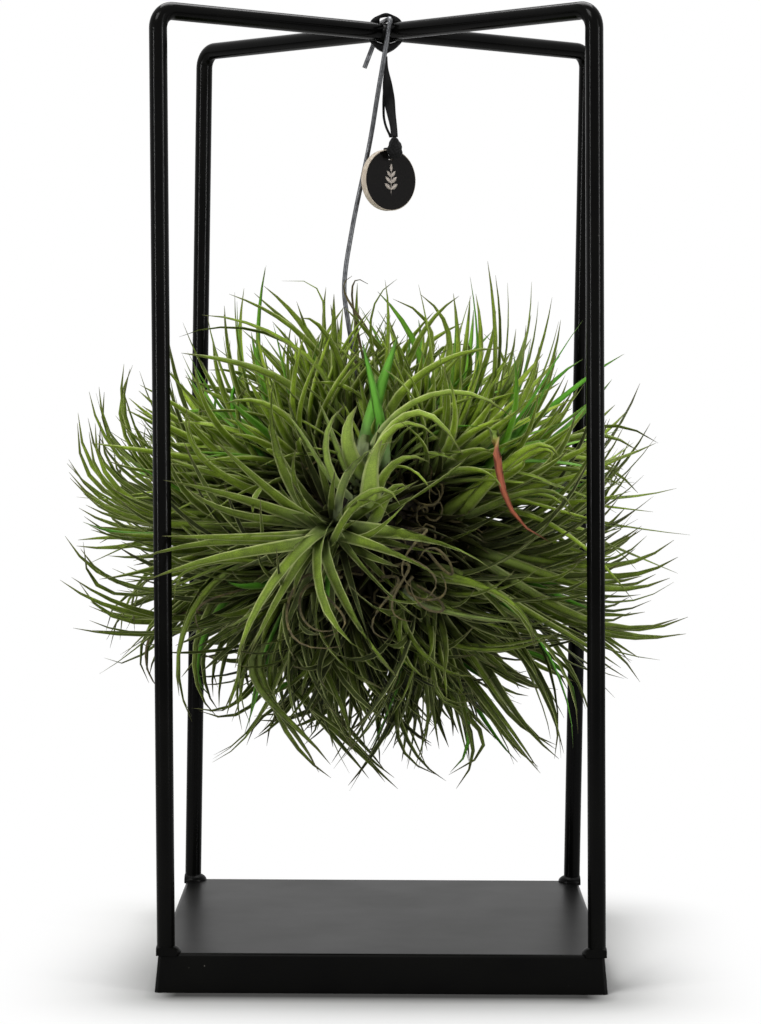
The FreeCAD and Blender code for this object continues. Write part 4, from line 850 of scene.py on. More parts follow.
        (380, 530, 430, 539, 497, 573, -80, -98, -112, 9.0, 0.86),
        (370, 535, 390, 520, 413, 494, -84, -98, -106, 5.5, 0.86),
        (340, 500, 350, 470, 400, 440, -74, -86, -94, 7.0, 0.76),
        (345, 520, 372, 500, 392, 520, -84, -98, -102, 8.0, 0.74),
        (330, 560, 318, 600, 318, 640, -70, -76, -78, 6.0, 0.60),
        (290, 560, 255, 610, 215, 630, -66, -76, -82, 6.0, 0.58),
        (350, 550, 385, 590, 420, 620, -74, -84, -92, 6.0, 0.62),
    ],
}
PLACED_WIDTH = 0.78
PLACED_FOOT = 5.0
PLACED_TONE = {"front": 0.57, "lower_right": 0.66, "right_fan": 0.74, "front_upright": 0.82, "left_fan": 0.9}
FRAME_WIDE, FRAME_TALL = 761, 1024
SENSOR_MM = 36.0
PIXELS_PER_TURN = LENS_MM / SENSOR_MM * FRAME_TALL


def from_pixels(x, y, depth):
    """Points in millimetres on the camera's rays through pixels, where they reach the depths."""
    right = (x - FRAME_WIDE / 2) / PIXELS_PER_TURN
    up = (FRAME_TALL / 2 - y) / PIXELS_PER_TURN
    ray = forward + right[..., None] * camera_right + up[..., None] * camera_up
    start = np.array(CAMERA_PLACE) / MM
    return start + ray * ((depth - start[1]) / ray[..., 1])[..., None]


def through_four(points, steps=RINGS):
    """Cubics through four points each, in step with the lengths between them."""
    gaps = np.linalg.norm(np.diff(points, axis=1), axis=-1)
    knots = np.concatenate([np.zeros((len(points), 1)), np.cumsum(gaps, axis=1)], axis=1)
    knots = knots / knots[:, -1:]
    share = np.linspace(0, 1, steps)[None, :]
    line = 0
    for i in range(4):
        weight = np.ones_like(knots[:, :1] * share)
        for j in range(4):
            if j != i:
                weight = weight * (share - knots[:, j : j + 1]) / (knots[:, i : i + 1] - knots[:, j : j + 1])
        line = line + weight[..., None] * points[:, None, i, :]
    return line


SIBLINGS = {"left_fan": 3, "lower_left": 2, "lower_right": 2, "right_fan": 1, "bottom_left": 2}
SIBLINGS |= {"bottom_right": 2, "left": 1, "right": 1}
SIBLING_PIXELS = 15.0
PIXELS_GROW = np.array([1, 1, 1.4, 1.4, 2, 2])
SIBLING_DEPTH = 26.0
DEPTH_GROWS = np.array([1.0, 1.5, 2.0])
TIP_DRAWN = 0.06
TIP_DRAWN_MORE = 0.3
SIBLING_TONE = 0.75
SIBLING_TONE_MORE = 0.3


def siblings(rows, count, chance):
    """Copies of rows whose pixels and depths have strayed a little, and whose tips are drawn in."""
    more = np.repeat(rows, count, axis=0)
    stray = chance.random((len(more), 9)) - 0.5
    more[:, 0:6] += SIBLING_PIXELS * stray[:, :6] * PIXELS_GROW
    more[:, 6:9] += SIBLING_DEPTH * stray[:, 6:7] * DEPTH_GROWS
    short = (TIP_DRAWN + TIP_DRAWN_MORE * chance.random(len(more)))[:, None]
    more[:, 4:6] += short * (more[:, 2:4] - more[:, 4:6])
    more[:, 10] *= SIBLING_TONE + SIBLING_TONE_MORE * chance.random(len(more))
    return more


def placed_leaves(name, seat, axis, chance):
    """Lines, the ways their blades face, widths and tones of one plant's placed leaves."""
    rows = np.array(PLACED.get(name, []), float).reshape(-1, 11)
    by_hand = len(rows)
    rows = np.concatenate([rows, siblings(rows, SIBLINGS.get(name, 0), chance)])
    places = from_pixels(rows[:, 0:6:2], rows[:, 1:6:2], rows[:, 6:9])
    root = seat + PLACED_FOOT * unit(places[:, 0] - seat)
    lines = through_four(np.concatenate([root[:, None, :], places], axis=1))
    kept = clear_of_things(lines) | (np.arange(len(rows)) < by_hand)
    lines, rows, places = lines[kept], rows[kept], places[kept]
    out = unit(places[:, 1] - seat - ((places[:, 1] - seat) @ axis)[:, None] * axis)
    return lines, out, rows[:, 9] * PLACED_WIDTH, rows[:, 10] * PLACED_TONE.get(name, 1.0)


print(sum(len(rows) for rows in PLACED.values()), "leaves placed by hand")

# %% [markdown]
# Now every plant gets both kinds of leaves in one mesh. A grown leaf that would touch a post or
# the wire takes the next of its fourteen tries, each turned and shortened a little more.

# %% Growing the clump
ACROSS = np.array([0.0, 0.5, 1.0, 0.5])
FRESH_SHARE = {"upper_right": 0.22, "right": 0.12, "left": 0.14, "upper_left": 0.12, "top_right": 0.12}
FRESH_ROWS = {"front_upright": [12, 13], "upper_right": [0, 1, 2], "left": [4, 6], "lower_right": [2]}
BLUSH_ROWS = {"upper_right": [10]}
SHEATH_ROWS = {"front_upright": [0, 4, 5, 6, 7, 10], "front": [15], "lower_right": [4], "upper_right": [3]}
PLACED_OUT = {"front_upright": 0.2}
OUTNESS_OF_PLACED = 0.6
FIRST_SEED = 100
SHEATH_SILVER = 1.9
FRESH_PLACED = 0.85
FRESH_GROWN = 0.6
FRESH_ELSEWHERE = 0.03
BLUSH = 0.9
WIDTH_LEAST = 0.85
WIDTH_SPREAD = 0.3
OUTER_WIDTH = 0.9
INNER_WIDER = 0.15
TONE_SPREAD = 0.34
OUTER_DARKER = 0.12
DARKEST = 0.02
PALEST = 0.98
INNER_SILVER = 1.1
OUTER_DULLER = 0.5


def leaf_piece(name, lines, out, width, numbers, *replaced):
    """Many leaves as one piece of leaf tissue; each row of numbers holds one value for each leaf."""
    total = len(lines)
    quads, caps = rings_to_faces(total, RINGS, 4)
    u = np.broadcast_to(ACROSS, (total, RINGS, 4))
    v = np.broadcast_to(np.linspace(0, 1, RINGS)[None, :, None], u.shape)
    piece = piece_from_faces(
        name,
        blades(lines, out, width).reshape(-1, 3),
        [quads, caps],
        np.stack([u, v], -1).reshape(-1, 2),
        {label: np.repeat(values, RINGS * 4) for label, values in zip(LEAF_NUMBERS, numbers)},
    )
    return dress(piece, tissue, "leaf", "plant", *replaced)


def grow(place, row):
    """One plant as a piece: placed leaves first, then grown ones that are clear of the posts."""
    name, at_turn, at_rise, turn_to, rise_to, count, length_share, inner, outer, lift, tone, silver = row
    chance = np.random.default_rng(FIRST_SEED + place)
    count = round(count * MORE_LEAVES)
    seat = PLANT_MIDDLE + way(at_turn, at_rise) * CORE_HALF * SEAT_SHARE
    axis = way(turn_to, rise_to)
    tried, outs, outness = leaf_lines(seat, axis, count, length_share, inner, outer, lift, chance)
    good = clear_of_things(tried)
    kept = good.any(0)
    numbers = np.arange(count)
    lines = tried[good.argmax(0), numbers][kept]
    out = outs[good.argmax(0), numbers][kept]
    outness = outness[kept]
    width = LEAF_WIDTH * (WIDTH_LEAST + WIDTH_SPREAD * chance.random(len(lines)))
    width = width * (OUTER_WIDTH + INNER_WIDER * (1 - outness))
    tones = tone + strays(chance, TONE_SPREAD, len(lines)) - OUTER_DARKER * outness
    tones = np.clip(tones, DARKEST, PALEST)
    placed, placed_out, placed_width, placed_tone = placed_leaves(name, seat, axis, chance)
    if len(placed):
        touching = ~clear_of_things(placed)
        if touching.any():
            print(name, "placed leaves in the way:", np.flatnonzero(touching).tolist())
        lines = np.concatenate([placed, lines])
        out = np.concatenate([placed_out, out])
        outness = np.concatenate([np.full(len(placed), PLACED_OUT.get(name, OUTNESS_OF_PLACED)), outness])
        width = np.concatenate([placed_width, width])
        tones = np.concatenate([placed_tone, tones])
    total = len(lines)
    silvers = np.clip(silver * (INNER_SILVER - OUTER_DULLER * outness), 0, 1)
    silvers[SHEATH_ROWS.get(name, [])] = SHEATH_SILVER
    some = chance.random(total) < FRESH_SHARE.get(name, FRESH_ELSEWHERE)
    freshes = np.where(some, FRESH_GROWN, 0.0)
    freshes[FRESH_ROWS.get(name, [])] = FRESH_PLACED
    blushes = np.zeros(total)
    blushes[BLUSH_ROWS.get(name, [])] = BLUSH
    leaf_piece(f"leaves_{name}", lines, out, width, [tones, silvers, freshes, blushes], f"rosette_{name}")
    return total


grown = {row[0]: grow(place, row) for place, row in enumerate(ROSETTES)}
print("leaves", grown, sum(grown.values()))

# %% [markdown]
# Under the leaves the old stems have matted into a dark lump. It is an egg with a few slow waves
# over it, which is enough for the little that shows between the leaves.

# %% Matted stems
LUMP_ROWS = 40
LUMP_COLUMNS = 64
LUMP_SHARE = 0.93
SWELLS = (0.05, 0.04, 0.03)
FIBRE_MM = 3.0
FIBRE_DEPTH_MM = 0.8


def stem_matter(name, dark, middle, pale):
    """Brown fibres: cloudy noise from a dark brown to a pale one."""
    material, tree, shader = new_material(name)
    place = add(tree, "ShaderNodeTexCoord").outputs["Object"]
    lumps = {"Scale": per_metre(FIBRE_MM), "Detail": 6.0, "Roughness": 0.7}
    fibres = add(tree, "ShaderNodeTexNoise", Vector=place, **lumps)
    browns = [(0.3, dark), (0.55, middle), (0.75, pale)]
    tone = add(tree, "ShaderNodeValToRGB", stops=browns, Fac=fibres)
    dents = add(tree, "ShaderNodeBump", Height=fibres, Distance=FIBRE_DEPTH_MM * MM, Strength=1.0)
    connect(tree, shader, Base_Color=tone, Roughness=0.85, Normal=dents)
    return material


def lump(middle, half, rows, columns):
    """An egg: radius times one plus three waves of both angles, closed at two poles."""
    level = np.linspace(-math.pi / 2, math.pi / 2, rows)[:, None]
    angle = np.linspace(0, TURN, columns, endpoint=False)[None, :]
    swell = 1 + SWELLS[0] * np.sin(5 * angle + 3 * level) * np.cos(level)
    swell = swell + SWELLS[1] * np.sin(9 * angle - 6 * level) * np.cos(level)
    swell = swell + SWELLS[2] * np.sin(14 * level) * np.cos(level) ** 2
    x = swell * np.cos(level) * np.cos(angle)
    y = swell * np.cos(level) * np.sin(angle)
    z = swell * np.sin(level) * np.ones_like(angle)
    return middle + np.stack([x, y, z], -1) * half


stems_material = stem_matter("matted_stems", "#100d07", "#282012", "#4a3b1c")
roots_material = stem_matter("dry_roots", "#201c0c", "#4c4424", "#786b3e")
grid = lump(PLANT_MIDDLE, CORE_HALF * LUMP_SHARE, LUMP_ROWS, LUMP_COLUMNS)[1:-1]
quads, caps = rings_to_faces(1, LUMP_ROWS - 2, LUMP_COLUMNS)
core = piece_from_faces("matted_stems", grid.reshape(-1, 3), [quads, caps])
dress(core, stems_material, "dry_stem", "plant", "plant_core")
print("core of", len(quads), "faces")

# %% [markdown]
# Thin dry roots curl out of the stems all round. A root is a tube that winds round its own
# direction: a straight line plus a circle whose radius grows along it. A few of them are placed by
# pixel, like the leaves.

# %% Dry roots
ROOTS = 210
ROOT_SEED = 7
ROOT_RINGS = 14
ROOT_SIDES = 6
ROOT_RADIUS = 0.75
ROOT_POST_ROOM = 3.0
ROOT_WIRE_ROOM = 2.6
ROOT_FOOT = 0.72
ROOT_TAPER = ([0.0, 0.7, 1.0], [1.0, 0.75, 0.15])
LEAN_SPREAD = 0.9
SCATTER_SPIN = 0.6
ROOT_START = 0.97
ROOT_SHORT = 26.0
ROOT_LONGER = 18.0
ROOT_TURNS = 0.5
ROOT_MORE_TURNS = 1.6
CURL_LEAST = 3.0
CURL_MORE = 7.0
CURL_SLOWING = 0.35
# x and y of three pixels, three depths
PLACED_ROOTS = [
    (290, 597, 290, 632, 344, 646, -80, -94, -98),
    (412, 560, 436, 580, 420, 604, -86, -96, -98),
    (400, 585, 392, 610, 412, 622, -84, -92, -96),
    (430, 600, 446, 590, 440, 572, -84, -94, -94),
    (418, 540, 402, 566, 414, 590, -86, -94, -96),
    (448, 560, 430, 548, 418, 560, -84, -92, -94),
    (436, 612, 416, 600, 410, 580, -84, -94, -96),
    (386, 600, 372, 628, 392, 640, -82, -90, -94),
    (300, 610, 316, 630, 340, 628, -82, -94, -98),
    (352, 296, 356, 280, 368, 284, -14, -16, -16),
    (348, 300, 344, 284, 352, 276, -16, -18, -20),
    (146, 650, 150, 676, 158, 688, -12, -10, -10),
    (330, 600, 345, 624, 322, 638, -82, -94, -96),
    (214, 598, 196, 612, 202, 634, -62, -70, -72),
]


def scatter(count, chance):
    """Directions spread evenly over a ball: heights in equal steps, a golden angle apart."""
    height = 1 - 2 * (np.arange(count) + 0.5) / count
    spin = GOLDEN * np.arange(count) + SCATTER_SPIN * chance.random(count)
    flat = np.sqrt(1 - height**2)
    return np.stack([flat * np.cos(spin), flat * np.sin(spin), height], -1)


def tubes(lines, radius):
    """Six-sided rings round each line, as (lines, rings, 6, 3); radius is one value for each ring."""
    ahead = unit(np.gradient(lines, axis=-2))
    helper = np.array([0.3, 0.5, 0.81])
    side = unit(np.cross(ahead, helper))
    other = np.cross(ahead, side)
    angle = np.arange(ROOT_SIDES) / ROOT_SIDES * TURN
    ring = np.cos(angle)[:, None] * side[..., None, :] + np.sin(angle)[:, None] * other[..., None, :]
    return lines[..., None, :] + ring * radius[..., None, None]


def curled_lines(count, chance):
    """Lines that leave the stems and wind round their own direction as they go."""
    start = scatter(count, chance)
    length = ROOT_SHORT + ROOT_LONGER * chance.random(count)
    turns = ROOT_TURNS + ROOT_MORE_TURNS * chance.random(count)
    share = np.linspace(0, 1, ROOT_RINGS)
    lean = unit(start + strays(chance, LEAN_SPREAD, (count, 3)))
    side = unit(np.cross(lean, np.array([0.2, 0.4, 0.9])))
    other = np.cross(lean, side)
    swing = (CURL_LEAST + CURL_MORE * chance.random(count))[:, None] * share**0.8
    angle = TURN * turns[:, None] * share + (TURN * chance.random(count))[:, None]
    line = lean[:, None, :] * (length[:, None] * share * (1 - CURL_SLOWING * share))[..., None]
    line = line + side[:, None, :] * (swing * np.cos(angle))[..., None]
    line = line + other[:, None, :] * (swing * np.sin(angle))[..., None]
    return PLANT_MIDDLE + start[:, None, :] * CORE_HALF * ROOT_START + line - line[:, :1]


chance = np.random.default_rng(ROOT_SEED)
root_rows = np.array(PLACED_ROOTS, float)
spots = from_pixels(root_rows[:, 0:6:2], root_rows[:, 1:6:2], root_rows[:, 6:9])
first = PLANT_MIDDLE + (spots[:, 0] - PLANT_MIDDLE) * ROOT_FOOT
by_hand = through_four(np.concatenate([first[:, None, :], spots], axis=1), ROOT_RINGS)
wound = curled_lines(ROOTS, chance)
free = (gap_to_lines(wound, post_lows, post_highs) > POST_RADIUS + ROOT_POST_ROOM).all(-1)
free &= gap_to_lines(wound, WIRE_LINE[:-1], WIRE_LINE[1:]).min(-1) > ROOT_WIRE_ROOM
wound = np.concatenate([by_hand, wound[free]])
taper = np.interp(np.linspace(0, 1, ROOT_RINGS), *ROOT_TAPER)
rings = tubes(wound, ROOT_RADIUS * taper * np.ones((len(wound), 1)))
quads, caps = rings_to_faces(len(wound), ROOT_RINGS, ROOT_SIDES)
roots = piece_from_faces("dry_roots", rings.reshape(-1, 3), [quads, caps])
dress(roots, roots_material, "dry_stem", "plant")
print(len(wound), "roots")

# %% [markdown]
# Short dead leaves fill the gaps between the plants. Each is a straight line from the core, plus a
# bow that grows with the square of the way along it, and it takes the same blade as a live leaf.

# %% Dead leaves
DEAD_LEAVES = 330
DEAD_FOOT = 0.96
DEAD_BOW = 0.32
DEAD_SHORT = 26.0
DEAD_LONGER = 26.0
DEAD_DARK = 0.02
DEAD_TONES = 0.3
DEAD_WIDTH = 4.0
DEAD_WIDER = 1.6

away = scatter(DEAD_LEAVES, chance)
lean = unit(away + strays(chance, LEAN_SPREAD, (DEAD_LEAVES, 3)))
length = DEAD_SHORT + DEAD_LONGER * chance.random(DEAD_LEAVES)
share = np.linspace(0, 1, RINGS)
bow = np.cross(lean, unit(chance.random((DEAD_LEAVES, 3)) - 0.5))
lines = PLANT_MIDDLE + away[:, None, :] * CORE_HALF * DEAD_FOOT
lines = lines + lean[:, None, :] * (length[:, None] * share)[..., None]
lines = lines + bow[:, None, :] * (length[:, None] * DEAD_BOW * share**2)[..., None]
free = clear_of_things(lines)
total = int(free.sum())
tones = DEAD_DARK + DEAD_TONES * chance.random(total)
width = DEAD_WIDTH + DEAD_WIDER * chance.random(total)
none = np.zeros(total)
out = unit(np.cross(bow[free], lean[free]))
leaf_piece("dead_leaves", lines[free], out, width, [tones, none, none, none])
print(total, "dead leaves")

# %% [markdown]
# The ribbon is tied in a loop round the crossing. Seen from the front it is an arch whose ends
# run down to a point, where the ribbon is pinched together below the rods. The band is thin
# where it passes between the rods and full above and below them.

# %% Ribbon round the crossing
LOOP_RADIUS = 8.70
LOOP_DROP = 10.8
LOOP_THIN = 0.5
LOOP_FULL = 1.7
ROD_CLEAR = 4.2
WELD_CLEAR = 5.3
LOOP_RINGS = 120
BAND_HALF = 2.0
BAND_LENGTH = 56.0
BAND_GIRTH = 9.0
# Half the weld's width and its lower side, and over what width the band steps down to the rods.
WELD_HALF = 2.0
WELD_LOW = 4.8
WELD_FADE = 4.0
# Sine of the angle above which the band leaves a window for the wire, and over what rise it opens.
WINDOW_FROM = 0.82
WINDOW_OVER = 0.10
LEVEL_LIMIT = 0.3
STEEP_LIMIT = 1.4
LEAST_COSINE = 0.2
BAND_FOLD = 0.05
BAND_FOLDS = 7
# How wide the band is, as a share, from level with the middle down to the point.
PINCH_AT = ([0.5, 0.8, 0.97, 1.0], [1.0, 1.3, 1.2, 0.55])


def closed_ring_faces(rings, sides):
    """Quads of one tube whose last ring joins its first."""
    ring = np.arange(rings)[:, None] * sides
    following = np.roll(ring, -1, axis=0)
    side = np.arange(sides)[None, :]
    after = (side + 1) % sides
    return np.stack([ring + side, following + side, following + after, ring + after], -1).reshape(-1, 4)


def grid_uv(rings, sides, length, girth):
    """UV in units of 10 mm: u round the section, v along the band."""
    v = np.linspace(0, length / UV_UNIT_MM, rings)[:, None] * np.ones(sides)
    u = np.linspace(0, girth / UV_UNIT_MM, sides)[None, :] * np.ones((rings, 1))
    return np.stack([u, v], -1).reshape(-1, 2)


def loop_radii(angle):
    """Outer radius of the arch with its point, and inner radius.

    The inner one keeps above and below the rods and the weld, and leaves a window for the wire."""
    down = -np.sin(angle)
    tilt = math.acos(LOOP_RADIUS / LOOP_DROP)
    from_point = np.arccos(np.clip(down, -1, 1))
    from_tangent = np.minimum(from_point, tilt) - tilt
    straight = LOOP_RADIUS / np.maximum(np.cos(from_tangent), LEAST_COSINE)
    outer = np.where(from_point < tilt, straight, LOOP_RADIUS)
    off_middle = WELD_LOW * np.tan(np.minimum(from_point, STEEP_LIMIT))
    aside = np.clip((off_middle - WELD_HALF) / WELD_FADE, 0, 1)
    floor = (WELD_CLEAR - (WELD_CLEAR - ROD_CLEAR) * aside) / np.maximum(down, LEVEL_LIMIT)
    inner = np.where(down > LEVEL_LIMIT, np.minimum(outer - LOOP_THIN, floor), outer - LOOP_THIN)
    up = np.maximum(np.sin(angle), LEVEL_LIMIT)
    packed = np.minimum(outer - LOOP_THIN, ROD_CLEAR / up)
    window = np.clip((up - WINDOW_FROM) / WINDOW_OVER, 0, 1)
    top = packed + (outer - LOOP_FULL - packed) * window * window * (3 - 2 * window)
    return outer, np.where(down < -LEVEL_LIMIT, top, inner)


angle = np.arange(LOOP_RINGS) / LOOP_RINGS * TURN
outer, inner = loop_radii(angle)
LOOP_MIDDLE = np.array([0.0, 0.0, ARM_LEVEL])
SECTION = np.array(
    [[1, -0.8], [0.96, -1], [0.5, -0.96], [0.04, -1], [0, -0.8], [0, 0], [0, 0.8], [0.04, 1]]
    + [[0.5, 0.96], [0.96, 1], [1, 0.8], [0.93, 0.35], [0.98, 0.0], [0.93, -0.35]]
)
folds = 1 - BAND_FOLD * (1 + np.sin(BAND_FOLDS * angle)) * np.clip(np.abs(np.sin(angle)) - 0.5, 0, 1)
radius = inner[:, None] + (outer * folds - inner)[:, None] * SECTION[None, :, 0]
pinch = np.interp(-np.sin(angle), *PINCH_AT)
rings = np.stack(
    [
        radius * np.cos(angle)[:, None],
        BAND_HALF * pinch[:, None] * SECTION[None, :, 1] * np.ones_like(radius),
        radius * np.sin(angle)[:, None],
    ],
    -1,
)
loop_faces = closed_ring_faces(LOOP_RINGS, len(SECTION))
loop = piece_from_faces(
    "tied_loop",
    (LOOP_MIDDLE + rings).reshape(-1, 3),
    [loop_faces],
    grid_uv(LOOP_RINGS, len(SECTION), BAND_LENGTH, BAND_GIRTH),
)
dress(loop, ribbon_cloth, "ribbon", "stand", "ribbon_loop")
print("loop of", len(loop_faces), "faces, from", round(inner.min(), 2), "to", round(outer.max(), 2), "mm")

# %% [markdown]
# Below the point the ribbon hangs as two strands. The front one starts as a narrow twist, opens
# to its full width and turns its face, then gathers again at the knot. The back one is seen on
# its edge. A strand is a row of flat sections, each turned about the vertical by its own angle.

# %% The two strands
STRAND_TOP = 419.8
STRAND_DROP = 37.75
STRAND_RINGS = 44
STRAND_GIRTH = 12.0
WRINKLE = 0.25
BLENDED_RINGS = 5
STRAND_SECTION = np.array(
    [[-1, -0.4], [-0.86, -1], [-0.4, -0.7], [0, -1], [0.45, -0.7], [0.86, -1]]
    + [[1, -0.4], [1, 0.4], [0.86, 1], [0.4, 0.75], [0, 1], [-0.4, 0.75], [-0.86, 1], [-1, 0.4]]
)[::-1]
# share of the way down, x, y, half width, half thickness in mm, turn in degrees
FRONT_STRAND = [
    (0.00, 0.1, 0.0, 0.55, 0.50, 60),
    (0.15, 0.2, -0.1, 1.1, 0.45, 40),
    (0.32, 0.7, -0.3, 2.2, 0.38, 14),
    (0.52, 1.5, -0.6, 2.8, 0.36, -6),
    (0.70, 2.6, -1.3, 2.2, 0.40, -20),
    (0.86, 3.7, -3.0, 1.8, 0.50, -26),
    (1.00, 4.2, -4.4, 1.6, 0.60, -20),
]
BACK_STRAND = [
    (0.00, -0.4, 1.5, 0.30, 0.25, 0),
    (0.30, -0.7, 1.6, 0.42, 0.30, 20),
    (0.55, -1.0, 1.6, 0.50, 0.42, 30),
    (0.75, -0.9, 1.1, 0.55, 0.42, 30),
    (0.88, 0.3, -0.3, 0.60, 0.42, 20),
    (1.00, 2.7, -2.5, 0.70, 0.45, 10),
]


def strand(name, rows, node):
    """A strip through sections that are blended between the rows, wrinkled a little."""
    table = np.array(rows, float)
    share = np.linspace(0, table[-1, 0], STRAND_RINGS)
    x, y, wide, thick, twist = (np.interp(share, table[:, 0], table[:, i]) for i in range(1, 6))
    smooth = np.ones(BLENDED_RINGS) / BLENDED_RINGS
    ends = BLENDED_RINGS // 2
    rows_of_values = [np.pad(values, ends, mode="edge") for values in (x, y, wide, thick, twist)]
    x, y, wide, thick, twist = (np.convolve(values, smooth, "valid") for values in rows_of_values)
    twist = np.radians(twist)
    across = STRAND_SECTION[None, :, 0] * wide[:, None]
    wrinkle = 1 + WRINKLE * np.sin(9 * share[:, None] * TURN / 6 + 4 * STRAND_SECTION[None, :, 0])
    depth = STRAND_SECTION[None, :, 1] * thick[:, None] * wrinkle
    points = np.stack(
        [
            x[:, None] + across * np.cos(twist)[:, None] - depth * np.sin(twist)[:, None],
            y[:, None] + across * np.sin(twist)[:, None] + depth * np.cos(twist)[:, None],
            (STRAND_TOP - STRAND_DROP * share)[:, None] * np.ones_like(across),
        ],
        -1,
    )
    quads, caps = rings_to_faces(1, STRAND_RINGS, len(STRAND_SECTION))
    uv = grid_uv(STRAND_RINGS, len(STRAND_SECTION), STRAND_DROP, STRAND_GIRTH)
    piece = piece_from_faces(name, points.reshape(-1, 3), [quads, caps], uv)
    return dress(piece, ribbon_cloth, "ribbon", "ribbon", node)


strand("front_strand", FRONT_STRAND, "ribbon_front_strand")
strand("back_strand", BACK_STRAND, "ribbon_back_strand")
print("strands hang from", STRAND_TOP, "to", round(STRAND_TOP - STRAND_DROP, 2))

# %% [markdown]
# The knot is a small lump with a lobe to each side, where the ribbon's ends are pulled through.
# It is an egg whose radius grows towards a few chosen directions, with fine folds between them.
# The tag hangs turned, so the knot is made in the tag's own frame and then turned with it.

# %% Knot
TAG_TURN = math.radians(35.0)
TAG_MIDDLE = np.array([1.5, 0.0, 362.4])


def from_tag(points):
    """Points of the tag's own frame, its face towards -y, to where the tag hangs."""
    x = points[..., 0] * math.cos(TAG_TURN) - points[..., 1] * math.sin(TAG_TURN)
    y = points[..., 0] * math.sin(TAG_TURN) + points[..., 1] * math.cos(TAG_TURN)
    return TAG_MIDDLE + np.stack([x, y, points[..., 2]], -1)


KNOT_MIDDLE = np.array([-0.5, -5.55, 13.9])
KNOT_HALF = np.array([3.3, 2.0, 4.1])
KNOT_ROWS = 36
KNOT_COLUMNS = 48
KNOT_LENGTH = 9.0
KNOT_GIRTH = 16.0
# direction of each lobe, how far it stands out, how narrow it is
LOBES = [
    ((1.0, -0.2, -0.45), 0.34, 12.0),
    ((0.8, -0.2, 0.35), 0.18, 16.0),
    ((-1.0, -0.2, -0.15), 0.46, 12.0),
    ((-0.6, -0.2, -0.9), 0.22, 14.0),
    ((-0.05, 0.0, 1.0), 0.43, 3.5),
    ((0.1, -0.9, 0.1), 0.10, 8.0),
]


def knot(rows, columns):
    """Directions of a ball, and the knot's radius share in each of them."""
    level = np.linspace(-math.pi / 2, math.pi / 2, rows)[1:-1, None]
    angle = np.linspace(0, TURN, columns, endpoint=False)[None, :]
    ball = np.stack(
        [np.cos(level) * np.cos(angle), np.cos(level) * np.sin(angle), np.sin(level) + 0 * angle],
        -1,
    )
    share = np.ones(ball.shape[:2])
    for direction, reach, sharp in LOBES:
        share = share + reach * np.exp(sharp * (ball @ unit(np.array(direction)) - 1))
    folds = 0.045 * np.sin(11 * angle + 5 * np.sin(3 * level)) * np.cos(level)
    folds = folds + 0.035 * np.sin(13 * level + 2 * np.sin(2 * angle)) * np.cos(level)
    return ball * (share + folds)[..., None]


lumps = KNOT_MIDDLE + knot(KNOT_ROWS, KNOT_COLUMNS) * KNOT_HALF
quads, caps = rings_to_faces(1, KNOT_ROWS - 2, KNOT_COLUMNS)
uv = grid_uv(KNOT_ROWS - 2, KNOT_COLUMNS, KNOT_LENGTH, KNOT_GIRTH)
tied = piece_from_faces("tied_knot", from_tag(lumps).reshape(-1, 3), [quads, caps], uv)
dress(tied, ribbon_cloth, "ribbon", "tag", "ribbon_knot")
print("knot of", len(quads), "faces")

# %% [markdown]
# Behind the knot, a band of ribbon runs over the tag's edge and through its hole. Its course is a
# circle whose cosine and sine are raised to a small power, which makes it nearly a rectangle.

# %% Ribbon through the hole
EYE_FRONT = -2.45
EYE_REAR = 2.1
EYE_LOW = 11.25
EYE_HIGH = 14.55
EYE_RINGS = 64
EYE_HALF = 1.45
EYE_THICK = 0.5
EYE_LOW_THICK = 1.4
EYE_SQUARENESS = 0.3
EYE_LENGTH = 20.0
EYE_GIRTH = 6.0
# How far down the eye starts to thicken, as a share of its half height, and over what share.
EYE_LOW_FROM = 0.6
EYE_LOW_OVER = 0.4

angle = np.arange(EYE_RINGS) / EYE_RINGS * TURN
level_y = np.sign(np.cos(angle)) * np.abs(np.cos(angle)) ** EYE_SQUARENESS
level_z = np.sign(np.sin(angle)) * np.abs(np.sin(angle)) ** EYE_SQUARENESS
middle = np.array([(EYE_FRONT + EYE_REAR) / 2, (EYE_LOW + EYE_HIGH) / 2])
half = np.array([(EYE_REAR - EYE_FRONT) / 2, (EYE_HIGH - EYE_LOW) / 2])
sides = np.array([[1, -1], [1, -0.4], [0.8, 0.1], [1, 0.5], [1, 1], [0, 1], [0, 0], [0, -1]])
thicker = np.clip(-level_z - EYE_LOW_FROM, 0, EYE_LOW_OVER) / EYE_LOW_OVER
thick = EYE_THICK + (EYE_LOW_THICK - EYE_THICK) * thicker
share = np.array([EYE_THICK / EYE_LOW_THICK, 1.0])
reach = half[None, None, :] + thick[:, None, None] * sides[None, :, 0, None] * share
rings = np.stack(
    [
        EYE_HALF * sides[None, :, 1] * np.ones((EYE_RINGS, 1)),
        middle[0] + level_y[:, None] * reach[..., 0],
        middle[1] + level_z[:, None] * reach[..., 1],
    ],
    -1,
)
eye_faces = closed_ring_faces(EYE_RINGS, len(sides))
eye_uv = grid_uv(EYE_RINGS, len(sides), EYE_LENGTH, EYE_GIRTH)
eye = piece_from_faces("ribbon_through_hole", from_tag(rings).reshape(-1, 3), [eye_faces], eye_uv)
dress(eye, ribbon_cloth, "ribbon", "tag", "ribbon_eye")
print("eye of", len(eye_faces), "faces")

# %% [markdown]
# The tag's black face carries a small sprig in pale ink. Each of its leaves is an almond: a
# lens-shaped outline between two arcs, raised by 0.06 mm of ink.

# %% Sprig on the tag
INK_MM = 0.06
INK_GRAIN_MM = 0.4
ALMOND_END = 0.03
FACE_LEVEL = -2.22
ALMOND_POINTS = 17
